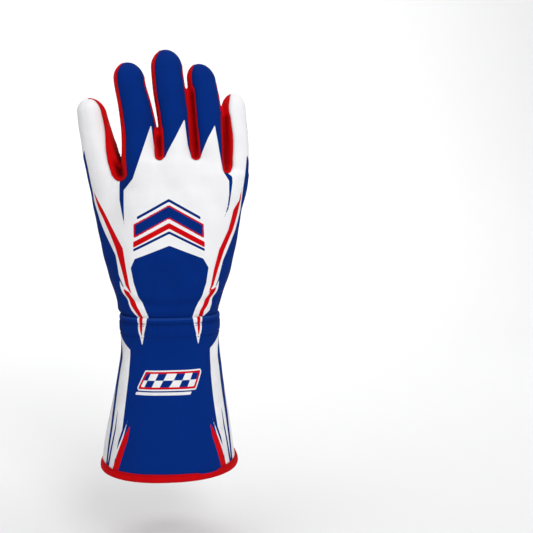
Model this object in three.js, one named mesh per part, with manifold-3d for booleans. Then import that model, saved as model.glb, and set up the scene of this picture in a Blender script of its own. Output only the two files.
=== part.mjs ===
// A right-hand karting glove with a long flared cuff, in the open form it has on a hand, fingers up.
// Millimetres, +Z from the wrist towards the fingertips, the back of the hand faces -Y and the thumb is at -X.
// The origin is the middle of the wrist, at the seam between hand and cuff.
import * as THREE from "three";
import { mergeVertices } from "three/addons/utils/BufferGeometryUtils.js";
import Module from "manifold-3d";

const wasm = await Module();
wasm.setup();

// Driving sizes of the hand
const handLength = 197; // wrist seam to the middle fingertip
const palmBreadth = 93; // across the knuckles
const palmDepth = 50; // back to palm at the wrist end, with the room a hand needs
const fingerBreadth = 24; // across the middle finger
const fingerDepth = 23; // back to palm side of a finger near its tip
const wristBreadth = 70.5; // across the hand piece at the wrist seam
const wristDepth = 52; // back to palm of the hand piece at the wrist seam
const sectionPower = 2.25; // 2 is an ellipse, more is squarer

// Driving sizes of the cuff
const cuffLength = 116; // wrist seam to hem, binding included
const hemBreadth = 103; // outside the cuff fabric at the hem
const hemDepth = 97;
const hemShift = -1.4; // of the hem's middle towards the thumb's side

// Driving sizes of the material
const fabricWall = 2; // padded stretch fabric and suede palm
const seamGap = 0.3; // clear space between two pieces that are sewn together
const lapLength = 9; // how far the hand piece reaches down inside the cuff
const gussetHeight = 11; // back to palm, of the strip along the sides of the fingers
const tipSlit = 0.4; // between two gussets that meet over a fingertip
const bindingHeight = 6; // seen above the hem's lower edge
const bindingWall = 1.3;
const padThickness = 1.8;

// Mesh fineness
const bodySides = 26;
const fingerSides = 14;
const cuffSides = 32;
const domeSteps = 3;
const stepLength = 21; // between two rings of a finger

const wristHalf = { width: wristBreadth / 2, depth: wristDepth / 2 };
const sideLine = 0.08 * palmDepth; // y of the seam line along the side of the hand
const farAway = handLength + cuffLength; // reaches past the whole glove

// A table's rows hold: z as a share of handLength, left and right edges as shares of palmBreadth,
// back and palm surfaces as shares of palmDepth.
const PALM = [
  { z: 0.06, left: -0.42, right: 0.43, back: -0.53, palm: 0.55 },
  { z: 0.15, left: -0.445, right: 0.484, back: -0.51, palm: 0.54 },
  { z: 0.25, left: -0.46, right: 0.537, back: -0.49, palm: 0.5 },
  { z: 0.35, left: -0.445, right: 0.578, back: -0.46, palm: 0.45 },
  { z: 0.45, left: -0.405, right: 0.614, back: -0.425, palm: 0.39 },
  { z: 0.515, left: -0.37, right: 0.625, back: -0.39, palm: 0.35 },
  { z: 0.54, left: -0.36, right: 0.6, back: -0.37, palm: 0.33 },
  { z: 0.562, left: -0.353, right: 0.5, back: -0.35, palm: 0.32 },
  { z: 0.585, left: -0.35, right: 0.41, back: -0.33, palm: 0.3 },
  { z: 0.618, left: -0.345, right: 0.37, back: -0.3, palm: 0.28 },
];

// A finger's rows hold: z as a share of handLength, x of its middle as a share of palmBreadth,
// breadth as a share of fingerBreadth, y of its middle and depth as shares of fingerDepth.
// roll turns its back towards +X, in degrees.
const FINGERS = {
  thumb: {
    tip: 0.826,
    roll: -36,
    domeLength: 0.45,
    rows: [
      { z: 0.02, x: -0.2, y: 0.15, breadth: 1.0, depth: 1.2 },
      { z: 0.12, x: -0.275, y: 0.3, breadth: 1.34, depth: 1.5 },
      { z: 0.2, x: -0.325, y: 0.34, breadth: 1.36, depth: 1.5 },
      { z: 0.3, x: -0.385, y: 0.38, breadth: 1.33, depth: 1.4 },
      { z: 0.4, x: -0.43, y: 0.42, breadth: 1.32, depth: 1.25 },
      { z: 0.5, x: -0.475, y: 0.44, breadth: 1.3, depth: 1.17 },
      { z: 0.6, x: -0.525, y: 0.48, breadth: 1.18, depth: 1.09 },
      { z: 0.7, x: -0.577, y: 0.53, breadth: 0.99, depth: 0.98 },
      { z: 0.76, x: -0.602, y: 0.55, breadth: 0.9, depth: 0.9 },
      { z: 0.826, x: -0.62, y: 0.56, breadth: 0.82, depth: 0.82 },
    ],
  },
  index: {
    tip: 0.957,
    roll: 7,
    domeLength: 0.5,
    rows: [
      { z: 0.44, x: -0.17, y: 0, breadth: 0.8, depth: 0.8 },
      { z: 0.52, x: -0.21, y: -0.08, breadth: 1.06, depth: 1.15 },
      { z: 0.59, x: -0.222, y: -0.1, breadth: 1.1, depth: 1.2 },
      { z: 0.7, x: -0.232, y: -0.06, breadth: 1.06, depth: 1.08 },
      { z: 0.8, x: -0.266, y: 0.02, breadth: 0.98, depth: 1.02 },
      { z: 0.88, x: -0.299, y: 0.12, breadth: 0.95, depth: 0.97 },
      { z: 0.952, x: -0.312, y: 0.22, breadth: 0.9, depth: 0.92 },
    ],
  },
  middle: {
    tip: 1,
    roll: 9,
    domeLength: 0.55,
    rows: [
      { z: 0.44, x: 0.08, y: -0.05, breadth: 0.8, depth: 0.9 },
      { z: 0.52, x: 0.066, y: -0.12, breadth: 1.0, depth: 1.2 },
      { z: 0.6, x: 0.061, y: -0.16, breadth: 1.0, depth: 1.22 },
      { z: 0.72, x: 0.046, y: -0.1, breadth: 1.0, depth: 1.08 },
      { z: 0.86, x: 0.014, y: 0.02, breadth: 1.0, depth: 1.03 },
      { z: 0.93, x: -0.001, y: 0.12, breadth: 0.97, depth: 0.98 },
      { z: 1, x: -0.01, y: 0.22, breadth: 0.92, depth: 0.92 },
    ],
  },
  ring: {
    tip: 0.952,
    roll: 15,
    domeLength: 0.52,
    rows: [
      { z: 0.44, x: 0.33, y: 0, breadth: 0.8, depth: 0.85 },
      { z: 0.52, x: 0.344, y: -0.08, breadth: 0.98, depth: 1.14 },
      { z: 0.6, x: 0.34, y: -0.1, breadth: 0.95, depth: 1.16 },
      { z: 0.72, x: 0.322, y: -0.04, breadth: 0.94, depth: 1.04 },
      { z: 0.82, x: 0.298, y: 0.06, breadth: 0.93, depth: 0.98 },
      { z: 0.89, x: 0.274, y: 0.14, breadth: 0.88, depth: 0.93 },
      { z: 0.952, x: 0.254, y: 0.24, breadth: 0.84, depth: 0.88 },
    ],
  },
  little: {
    tip: 0.846,
    roll: 20,
    domeLength: 0.45,
    rows: [
      { z: 0.38, x: 0.46, y: 0.05, breadth: 0.6, depth: 0.6 },
      { z: 0.47, x: 0.525, y: 0.05, breadth: 0.76, depth: 0.95 },
      { z: 0.55, x: 0.545, y: 0.05, breadth: 0.8, depth: 1.02 },
      { z: 0.65, x: 0.548, y: 0.08, breadth: 0.79, depth: 0.92 },
      { z: 0.75, x: 0.54, y: 0.16, breadth: 0.75, depth: 0.84 },
      { z: 0.846, x: 0.545, y: 0.26, breadth: 0.66, depth: 0.76 },
    ],
  },
};

// Where two fingers part: x and z of the lowest point of the red edge on the back of the hand, how wide
// that edge's U is on the back and on the palm as shares of fingerBreadth, its lean upwards, and how far
// through the hand the back's U reaches as a share of gussetHeight.
const WEBS = [
  { between: ["thumb", "index"], x: -0.39, z: 0.512, back: 0.48, palm: 0, lean: -0.1, through: 1.2 },
  { between: ["index", "middle"], x: -0.067, z: 0.59, back: 0.33, palm: 0.26, lean: -0.1, through: 0.5 },
  { between: ["middle", "ring"], x: 0.218, z: 0.59, back: 0.33, palm: 0.26, lean: -0.07, through: 0.5 },
  { between: ["ring", "little"], x: 0.468, z: 0.542, back: 0.33, palm: 0.26, lean: -0.03, through: 0.5 },
];

// The cuff's rows hold: z as a share of cuffLength down from the wrist seam, and the flare there,
// 0 at the wrist's own size and 1 at the hem's.
const CUFF = [
  { down: 0, flare: 0.01 },
  { down: 0.09, flare: 0.01 },
  { down: 0.15, flare: -0.02 },
  { down: 0.24, flare: 0.01 },
  { down: 0.35, flare: 0.15 },
  { down: 0.52, flare: 0.37 },
  { down: 0.7, flare: 0.62 },
  { down: 0.84, flare: 0.82 },
  { down: 1, flare: 1 },
];

// Seam between palm and back on the palm side, from the cuff upwards: x and z as shares of palmBreadth
// and handLength. The thumb's side first, then the little finger's side.
const PALM_SEAM_THUMB = [
  { x: -0.285, z: 0 },
  { x: -0.245, z: 0.13 },
  { x: -0.4, z: 0.23 },
  { x: -0.5, z: 0.325 },
];
const PALM_SEAM_LITTLE = [
  { x: 0.29, z: 0 },
  { x: 0.345, z: 0.06 },
  { x: 0.43, z: 0.15 },
  { x: 0.5, z: 0.24 },
  { x: 0.57, z: 0.34 },
  { x: 0.645, z: 0.44 },
];

// The strip along the little finger's side of the hand: z as a share of handLength, and its height as a
// share of gussetHeight.
const OUTER_STRIP = [
  { z: -0.06, height: 0.3 },
  { z: 0.1, height: 0.3 },
  { z: 0.3, height: 0.3 },
  { z: 0.42, height: 0.45 },
  { z: 0.52, height: 0.8 },
];

// Pads on the palm: outlines as x and z shares of palmBreadth and handLength, run clockwise as seen
// from the palm side.
const PALM_PADS = {
  knuckle_pad: [
    [-0.3, 0.5], [-0.27, 0.535], [-0.2, 0.545], [-0.05, 0.54], [0.12, 0.525], [0.3, 0.5], [0.47, 0.462],
    [0.535, 0.438], [0.55, 0.41], [0.53, 0.365], [0.49, 0.335], [0.43, 0.335], [0.3, 0.365], [0.1, 0.405],
    [-0.1, 0.44], [-0.24, 0.46], [-0.29, 0.475],
  ],
  thenar_pad: [
    [-0.33, 0.39], [-0.28, 0.41], [-0.21, 0.407], [-0.12, 0.375], [-0.05, 0.325], [-0.012, 0.27],
    [-0.008, 0.22], [-0.03, 0.165], [-0.065, 0.105], [-0.09, 0.075], [-0.06, 0.045], [0.0, 0.03],
    [0.07, 0.03], [0.07, 0.01], [-0.25, 0.01], [-0.225, 0.1], [-0.18, 0.19], [-0.175, 0.25],
    [-0.215, 0.31], [-0.28, 0.36],
  ],
  hypothenar_pad: [
    [0.12, 0.055], [0.135, 0.105], [0.185, 0.19], [0.25, 0.265], [0.33, 0.31], [0.41, 0.318],
    [0.455, 0.295], [0.45, 0.24], [0.41, 0.17], [0.36, 0.105], [0.29, 0.055], [0.2, 0.03], [0.14, 0.035],
  ],
};

// Pads on the inner side of the thumb: outline across the thumb as a share of fingerBreadth, and z as a
// share of handLength.
const THUMB_PADS = {
  thumb_tip_pad: [
    [-0.12, 0.775], [0.2, 0.785], [0.42, 0.76], [0.42, 0.635], [0.1, 0.625], [-0.1, 0.65],
  ],
  thumb_base_pad: [
    [-0.08, 0.6], [0.42, 0.615], [0.42, 0.49], [0.15, 0.475], [-0.08, 0.52],
  ],
};

const shade = {
  blue: { color: 0x0b3482, roughness: 0.8, metalness: 0 },
  white: { color: 0xe8e8ea, roughness: 0.8, metalness: 0 },
  red: { color: 0xc8101a, roughness: 0.75, metalness: 0 },
  black: { color: 0x1a1a1c, roughness: 0.9, metalness: 0 },
};

// Smooth curves through a table's columns
function columns(rows, key) {
  const at = rows.map((row) => row[key]);
  const names = Object.keys(rows[0]).filter((name) => name !== key);
  const curve = new THREE.CubicInterpolant(at, rows.flatMap((row) => names.map((name) => row[name])), names.length);
  return (value) => {
    const inside = THREE.MathUtils.clamp(value, at[0], at[at.length - 1]);
    const found = curve.evaluate(inside);
    return Object.fromEntries(names.map((name, i) => [name, found[i]]));
  };
}

const palmShares = columns(PALM, "z");
const cuffShares = columns(CUFF, "down");
const stripShares = columns(OUTER_STRIP, "z");

// The middle and half sizes of a horizontal section of the palm
function palmSection(z) {
  const first = PALM[0];
  const share = palmShares(z / handLength);
  const section = {
    x: (palmBreadth * (share.left + share.right)) / 2,
    y: (palmDepth * (share.back + share.palm)) / 2,
    halfWidth: (palmBreadth * (share.right - share.left)) / 2,
    halfDepth: (palmDepth * (share.palm - share.back)) / 2,
  };
  const toWrist = 1 - THREE.MathUtils.smoothstep(z, fabricWall, first.z * handLength);
  return {
    x: section.x * (1 - toWrist),
    y: section.y * (1 - toWrist),
    halfWidth: THREE.MathUtils.lerp(section.halfWidth, wristHalf.width, toWrist),
    halfDepth: THREE.MathUtils.lerp(section.halfDepth, wristHalf.depth, toWrist),
    roll: 0,
  };
}

// The same for a finger; its sections shrink over the round tip
function fingerSections(name) {
  const finger = FINGERS[name];
  const shares = columns(finger.rows, "z");
  return (z) => {
    const share = shares(z / handLength);
    return {
      x: share.x * palmBreadth,
      y: share.y * fingerDepth,
      halfWidth: (share.breadth * fingerBreadth) / 2,
      halfDepth: (share.depth * fingerDepth) / 2,
      roll: THREE.MathUtils.degToRad(finger.roll),
    };
  };
}

const sectionsOf = Object.fromEntries(Object.keys(FINGERS).map((name) => [name, fingerSections(name)]));

// A point of a section, from its middle: across, then towards the palm side
function place(section, across, depth, z) {
  const turn = new THREE.Vector2(across, depth).rotateAround(new THREE.Vector2(), section.roll);
  return new THREE.Vector3(section.x + turn.x, section.y + turn.y, z);
}

// A ring of points round a section, grown by offset and shrunk by scale
function ring(section, z, offset, scale, sides) {
  return Array.from({ length: sides }, (_, i) => {
    const angle = (2 * Math.PI * i) / sides;
    const power = 2 / sectionPower;
    const across = Math.sign(Math.cos(angle)) * Math.abs(Math.cos(angle)) ** power;
    const depth = Math.sign(Math.sin(angle)) * Math.abs(Math.sin(angle)) ** power;
    const halfWidth = (section.halfWidth + offset) * scale;
    const halfDepth = (section.halfDepth + offset) * scale;
    return place(section, across * halfWidth, depth * halfDepth, z);
  });
}

// A closed geometry through rings of equal length, from the lowest to the highest
function loft(rings) {
  const sides = rings[0].length;
  const middle = (points) => points.reduce((sum, p) => sum.add(p), new THREE.Vector3()).divideScalar(sides);
  const points = [...rings.flat(), middle(rings[0]), middle(rings[rings.length - 1])];
  const index = [];
  rings.slice(1).forEach((_, r) => {
    for (let i = 0; i < sides; i++) {
      const next = (i + 1) % sides;
      const [a, b] = [r * sides + i, r * sides + next];
      const [c, d] = [a + sides, b + sides];
      index.push(a, b, d, a, d, c);
    }
  });
  const [bottom, top, lastRing] = [points.length - 2, points.length - 1, (rings.length - 1) * sides];
  for (let i = 0; i < sides; i++) {
    const next = (i + 1) % sides;
    index.push(bottom, next, i, top, lastRing + i, lastRing + next);
  }
  return solid(new THREE.BufferGeometry().setFromPoints(points).setIndex(index));
}

// A closed hoop through rings of equal length, from the last back to the first
function hoop(rings) {
  const sides = rings[0].length;
  const index = rings.flatMap((_, r) =>
    Array.from({ length: sides }, (_, i) => {
      const next = (i + 1) % sides;
      const above = ((r + 1) % rings.length) * sides;
      const [a, b, c, d] = [r * sides + i, r * sides + next, above + i, above + next];
      return [a, b, d, a, d, c];
    }).flat(),
  );
  return solid(new THREE.BufferGeometry().setFromPoints(rings.flat()).setIndex(index));
}

// Between three.js geometries and manifold-3d solids
function solid(geometry) {
  const bare = geometry.index ? geometry.toNonIndexed() : geometry.clone();
  bare.deleteAttribute("normal");
  bare.deleteAttribute("uv");
  const merged = mergeVertices(bare, 1e-4);
  return new wasm.Manifold(
    new wasm.Mesh({
      numProp: 3,
      vertProperties: merged.attributes.position.array,
      triVerts: new Uint32Array(merged.index.array),
    }),
  );
}

function geometryOf(manifold) {
  const mesh = manifold.getMesh();
  return new THREE.BufferGeometry()
    .setAttribute("position", new THREE.BufferAttribute(new Float32Array(mesh.vertProperties), 3))
    .setIndex(new THREE.BufferAttribute(new Uint32Array(mesh.triVerts), 1))
    .toNonIndexed();
}

const joined = (solids) => solids.reduce((sum, s) => sum.add(s));

// The main body of a cut piece, without the slivers that the cuts leave
const mainBody = (piece) => piece.decompose().reduce((most, body) => (body.volume() > most.volume() ? body : most));

function heights(from, to, step) {
  const count = Math.max(2, Math.round((to - from) / step) + 1);
  return Array.from({ length: count }, (_, i) => THREE.MathUtils.lerp(from, to, i / (count - 1)));
}

// A tube through sections with a round end: it starts at the first station and ends at the tip
function tube(sectionAt, stations, tip, domeHeight, offset, sides) {
  const last = stations.pop();
  const domeStart = tip - domeHeight;
  const rings = [...stations, ...heights(last, domeStart, stepLength)].map((z) => ring(sectionAt(z), z, offset, 1, sides));
  for (let i = 1; i <= domeSteps; i++) {
    const angle = ((i / (domeSteps + 0.35)) * Math.PI) / 2;
    const z = domeStart + (domeHeight + offset) * Math.sin(angle);
    rings.push(ring(sectionAt(Math.min(z, tip)), z, offset, Math.cos(angle), sides));
  }
  return loft(rings);
}

// The whole hand, grown by offset: palm, four fingers and thumb as one solid
function handSolid(offset, bottom) {
  const palmTop = PALM[PALM.length - 1].z * handLength;
  const palmDome = fabricWall * 2;
  const stations = [bottom, fabricWall, PALM[0].z * handLength];
  const palm = tube(palmSection, stations, palmTop, palmDome, offset, bodySides);
  const fingers = Object.entries(FINGERS).map(([name, finger]) => {
    const tip = finger.tip * handLength;
    const dome = finger.domeLength * fingerBreadth;
    return tube(sectionsOf[name], [finger.rows[0].z * handLength], tip, dome, offset, fingerSides);
  });
  return joined([palm, ...fingers]);
}

// A block that follows a finger: from one height to the finger's tip and past it, between two places
// across the finger and two places through its depth
function fingerBlock(name, from, across, depth) {
  const finger = FINGERS[name];
  const past = (finger.tip + 0.05) * handLength;
  const rings = heights(from, past, 2 * stepLength).map((z) => {
    const section = sectionsOf[name](z);
    return [
      place(section, across[0](section), depth[0], z),
      place(section, across[1](section), depth[0], z),
      place(section, across[1](section), depth[1], z),
      place(section, across[0](section), depth[1], z),
    ];
  });
  return loft(rings);
}

// An upright prism: an outline seen from the front, as points of x and z, between two values of y
function prism(outline, front, back) {
  const shape = new THREE.Shape(outline.map((p) => new THREE.Vector2(p.x, p.y)));
  const geometry = new THREE.ExtrudeGeometry(shape, { depth: back - front, bevelEnabled: false });
  geometry.rotateX(Math.PI / 2);
  geometry.translate(0, back, 0);
  return solid(geometry);
}

// The U-shaped outline of a gusset's edge, its round end down
function uOutline(web, width, grow) {
  const radius = width / 2 + grow;
  const foot = new THREE.Vector2(web.x * palmBreadth, web.z * handLength + width / 2);
  const arcSteps = 6;
  const reach = fingerBreadth * 0.9;
  const points = Array.from({ length: arcSteps + 1 }, (_, i) => {
    const angle = Math.PI + (Math.PI * i) / arcSteps;
    return new THREE.Vector2(foot.x + radius * Math.cos(angle), foot.y + radius * Math.sin(angle));
  });
  points.push(new THREE.Vector2(foot.x + radius * 0.6 + web.lean * reach, foot.y + reach));
  points.push(new THREE.Vector2(foot.x - radius * 0.6 + web.lean * reach, foot.y + reach));
  return points;
}

// The space that one gusset takes: half of each finger's sides, and the U where the fingers part
function gussetSpace(web, grow) {
  const [first, second] = web.between;
  const halfHeight = gussetHeight / 2 + grow;
  const inner = tipSlit / 2 - grow;
  const outer = (section) => section.halfWidth + fabricWall;
  const from = web.z * handLength - fabricWall;
  const blocks = [
    fingerBlock(first, from, [() => inner, outer], [-halfHeight, halfHeight]),
    fingerBlock(second, from, [(s) => -outer(s), () => -inner], [-halfHeight, halfHeight]),
    prism(uOutline(web, web.back * fingerBreadth, grow), -farAway, web.through * gussetHeight + grow),
  ];
  if (web.palm) blocks.push(prism(uOutline(web, web.palm * fingerBreadth, grow), 0, farAway));
  return joined(blocks);
}

// The space of the strip down the little finger's outer side and the hand's
function outerStripSpace(grow) {
  const halfHeight = gussetHeight / 2 + grow;
  const overlap = OUTER_STRIP[OUTER_STRIP.length - 1].z * handLength;
  const outer = (section) => section.halfWidth + fabricWall;
  const finger = fingerBlock("little", overlap - fabricWall, [() => tipSlit / 2 - grow, outer], [-halfHeight, halfHeight]);
  const rings = heights(-lapLength - fabricWall, overlap, stepLength).map((z) => {
    const section = palmSection(z);
    const strip = stripShares(z / handLength);
    const half = (strip.height * gussetHeight) / 2 + grow;
    const [near, far] = [section.x + section.halfWidth * 0.75, section.x + section.halfWidth + fingerBreadth];
    return [
      new THREE.Vector3(near, sideLine - half, z),
      new THREE.Vector3(far, sideLine - half, z),
      new THREE.Vector3(far, sideLine + half, z),
      new THREE.Vector3(near, sideLine + half, z),
    ];
  });
  return finger.add(loft(rings));
}

// The short strip on the thumb's outer side, which narrows downwards from the tip
function thumbStripSpace(grow) {
  const { tip } = FINGERS.thumb;
  const length = fingerBreadth * 1.1;
  const top = (tip + 0.05) * handLength;
  const rings = heights(tip * handLength - length, top, stepLength).map((z, i, all) => {
    const section = sectionsOf.thumb(z);
    const half = THREE.MathUtils.lerp(0.1, 0.32, i / (all.length - 1)) * gussetHeight + grow;
    const outer = -section.halfWidth - fabricWall;
    const inner = -tipSlit / 2 + grow;
    return [
      place(section, outer, -half, z),
      place(section, inner, -half, z),
      place(section, inner, half, z),
      place(section, outer, half, z),
    ];
  });
  return loft(rings);
}

// Points of a seam table in millimetres, moved outwards by grow
const seamPoints = (rows, grow) => rows.map((p) => new THREE.Vector2(p.x * palmBreadth + grow, p.z * handLength));

// Everything on the palm's side of the seams
function palmSpace(grow) {
  const thumbSeam = seamPoints(PALM_SEAM_THUMB, -grow);
  const littleSeam = seamPoints(PALM_SEAM_LITTLE, grow);
  const thumbEnd = thumbSeam[thumbSeam.length - 1];
  const thumbRoot = sectionsOf.index(thumbEnd.y);
  const besideThumb = thumbRoot.x - thumbRoot.halfWidth - fabricWall;
  const webLevel = WEBS[WEBS.length - 1].z * handLength;
  const outline = [
    new THREE.Vector2(thumbSeam[0].x, -farAway),
    new THREE.Vector2(littleSeam[0].x, -farAway),
    ...littleSeam,
    new THREE.Vector2(farAway, littleSeam[littleSeam.length - 1].y),
    new THREE.Vector2(farAway, webLevel),
    new THREE.Vector2(besideThumb, webLevel),
    new THREE.Vector2(besideThumb, thumbEnd.y + grow),
    new THREE.Vector2(thumbEnd.x, thumbEnd.y + grow),
    ...thumbSeam.slice(0, -1).reverse(),
  ];
  const reach = fabricWall + grow;
  const across = [(s) => -s.halfWidth - reach, (s) => s.halfWidth + reach];
  const blocks = Object.entries(FINGERS).map(([name, finger]) => {
    const from = name === "thumb" ? thumbEnd.y - grow : finger.rows[0].z * handLength;
    return fingerBlock(name, from, across, [-grow, farAway / 4]);
  });
  return joined([prism(outline, sideLine - grow, farAway), ...blocks]);
}

// The white piece between the outer strip and the palm, on the little finger's side
function sidePanelSpace() {
  const seam = seamPoints(PALM_SEAM_LITTLE, seamGap);
  const top = seam[seam.length - 1].y;
  const outline = [
    new THREE.Vector2(seam[0].x, -farAway),
    new THREE.Vector2(farAway, -farAway),
    new THREE.Vector2(farAway, top),
    ...seam.slice().reverse(),
  ];
  return prism(outline, sideLine, farAway);
}

// The hand's shell, cut into its sewn pieces
const handShell = handSolid(0, -lapLength).subtract(handSolid(-fabricWall, -lapLength - fabricWall));
const gussets = WEBS.map((web) => [`gusset_${web.between.join("_")}`, handShell.intersect(gussetSpace(web, 0))]);
const outerStrip = handShell.intersect(outerStripSpace(0));
const thumbStrip = handShell.intersect(thumbStripSpace(0));
const panels = [...WEBS.map((web) => gussetSpace(web, seamGap)), outerStripSpace(seamGap), thumbStripSpace(seamGap)].reduce(
  (rest, space) => rest.subtract(space),
  handShell,
);
const palmPanel = panels.intersect(palmSpace(0));
const backAndSide = panels.subtract(palmSpace(seamGap));
const sidePanel = backAndSide.intersect(sidePanelSpace());
const backPanel = backAndSide.subtract(sidePanelSpace());

// Pads that follow the palm's surface, with the seam gap under them
const padSkin = handSolid(seamGap + padThickness, 0).subtract(handSolid(seamGap, -lapLength));

function palmPad(outline) {
  const points = outline.map(([x, z]) => new THREE.Vector2(x * palmBreadth, z * handLength));
  return padSkin.intersect(prism(points.reverse(), palmDepth * 0.1, farAway));
}

function thumbPad(outline) {
  const middleHeight = (outline.reduce((sum, p) => sum + p[1], 0) / outline.length) * handLength;
  const section = sectionsOf.thumb(middleHeight);
  const points = outline.map(([across, z]) => new THREE.Vector2(across * fingerBreadth, z * handLength));
  const upright = prism(points.reverse(), 0, farAway / 4);
  const turn = new THREE.Matrix4()
    .makeTranslation(section.x, section.y, 0)
    .multiply(new THREE.Matrix4().makeRotationZ(section.roll));
  return padSkin.intersect(solid(geometryOf(upright).applyMatrix4(turn)));
}

// The cuff and its binding
function cuffSection(z) {
  const { flare } = cuffShares(-z / cuffLength);
  const lap = seamGap + fabricWall; // the cuff goes round the hand piece
  return {
    x: flare * hemShift,
    y: 0,
    halfWidth: THREE.MathUtils.lerp(wristHalf.width + lap, hemBreadth / 2, flare),
    halfDepth: THREE.MathUtils.lerp(wristHalf.depth + lap, hemDepth / 2, flare),
    roll: 0,
  };
}

const cuffRing = (z, offset) => ring(cuffSection(z), z, offset, 1, cuffSides);

const hemEdge = -cuffLength + bindingWall + seamGap;
const bindingTop = -cuffLength + bindingHeight;
const cuffTop = fabricWall / 2;
const cuffHeights = [hemEdge, ...heights(bindingTop, cuffTop, stepLength)];
const cuffOutside = cuffHeights.map((z) => cuffRing(z, 0));
const cuffInside = cuffHeights.map((z) => cuffRing(z, -fabricWall));
const cuff = hoop([...cuffOutside, ...cuffInside.reverse()]);

// The binding's U-shaped profile, swept round the hem: growth from the cuff's outer face, and z
const [outside, inside] = [seamGap + bindingWall, -fabricWall - seamGap - bindingWall];
const bindingProfile = [
  [outside, -cuffLength],
  [outside, bindingTop],
  [seamGap, bindingTop],
  [seamGap, hemEdge - seamGap],
  [-fabricWall - seamGap, hemEdge - seamGap],
  [-fabricWall - seamGap, bindingTop],
  [inside, bindingTop],
  [inside, -cuffLength],
];
const binding = hoop(bindingProfile.map(([offset, z]) => cuffRing(z, offset)));

function meshOf(name, manifold, finish) {
  const mesh = new THREE.Mesh(geometryOf(mainBody(manifold)), new THREE.MeshStandardMaterial(finish));
  mesh.name = name;
  return mesh;
}

const hand = new THREE.Group();
hand.add(
  meshOf("back_panel", backPanel, shade.white),
  meshOf("palm_panel", palmPanel, shade.black),
  meshOf("side_panel", sidePanel, shade.white),
  ...gussets.map(([name, gusset]) => meshOf(name, gusset, shade.red)),
  meshOf("outer_strip", outerStrip, shade.red),
  meshOf("thumb_strip", thumbStrip, shade.red),
);

const pads = new THREE.Group();
pads.add(
  ...Object.entries(PALM_PADS).map(([name, outline]) => meshOf(name, palmPad(outline), shade.black)),
  ...Object.entries(THUMB_PADS).map(([name, outline]) => meshOf(name, thumbPad(outline), shade.black)),
);
hand.add(pads);

const gauntlet = new THREE.Group();
gauntlet.add(meshOf("cuff", cuff, shade.blue), meshOf("hem_binding", binding, shade.red));

const glove = new THREE.Group();
glove.add(hand, gauntlet);

export default glove;
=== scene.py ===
"""A right-hand karting glove with a long flared cuff: sewn panels, padded palm, printed stretch fabric.

Lengths in the tables are millimetres or shares of the named sizes; they become metres in add_piece.
+Z runs from the wrist to the fingertips, the back of the hand faces -Y, the thumb is at -X.
"""
import math

import bpy
import numpy as np
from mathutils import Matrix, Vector


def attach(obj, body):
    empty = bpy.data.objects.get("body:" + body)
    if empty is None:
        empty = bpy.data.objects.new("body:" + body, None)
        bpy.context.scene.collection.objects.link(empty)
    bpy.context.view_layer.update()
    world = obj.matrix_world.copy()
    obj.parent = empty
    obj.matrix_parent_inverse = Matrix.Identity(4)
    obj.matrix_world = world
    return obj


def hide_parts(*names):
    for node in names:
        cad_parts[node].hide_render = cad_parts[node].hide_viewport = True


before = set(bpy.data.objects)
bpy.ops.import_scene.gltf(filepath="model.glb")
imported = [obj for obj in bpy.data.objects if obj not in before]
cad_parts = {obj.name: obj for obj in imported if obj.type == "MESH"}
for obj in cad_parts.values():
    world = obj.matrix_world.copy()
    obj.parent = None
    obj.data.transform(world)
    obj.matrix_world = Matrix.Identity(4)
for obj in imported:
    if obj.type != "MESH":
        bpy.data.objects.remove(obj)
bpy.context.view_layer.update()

MM = 0.001

# Driving sizes, as in the solids
HAND_LENGTH = 197.0
PALM_BREADTH = 93.0
PALM_DEPTH = 50.0
FINGER_BREADTH = 24.0
FINGER_DEPTH = 23.0
WRIST_BREADTH = 70.5
WRIST_DEPTH = 52.0
SECTION_POWER = 2.25
CUFF_LENGTH = 116.0
HEM_BREADTH = 103.0
HEM_DEPTH = 97.0
HEM_SHIFT = -1.4
WALL = 2.0
SEAM_GAP = 0.3
LAP_LENGTH = 9.0
GUSSET_HEIGHT = 11.0
BINDING_HEIGHT = 6.0
PAD_THICKNESS = 1.8

# Mesh fineness
GRID_PITCH = 1.0
PRINT_EDGE = 0.1

# z, left, right, back, palm: shares of HAND_LENGTH, PALM_BREADTH, PALM_BREADTH, PALM_DEPTH, PALM_DEPTH
PALM_ROWS = [
    (0.03, -0.416, 0.4, -0.53, 0.55),
    (0.06, -0.42, 0.42, -0.53, 0.55),
    (0.15, -0.445, 0.484, -0.51, 0.54),
    (0.25, -0.46, 0.537, -0.49, 0.5),
    (0.35, -0.445, 0.578, -0.46, 0.45),
    (0.45, -0.405, 0.594, -0.425, 0.39),
    (0.515, -0.37, 0.603, -0.39, 0.35),
    (0.54, -0.36, 0.6, -0.37, 0.33),
    (0.562, -0.353, 0.5, -0.35, 0.32),
    (0.585, -0.35, 0.41, -0.33, 0.3),
    (0.618, -0.345, 0.37, -0.3, 0.28),
]

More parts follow.
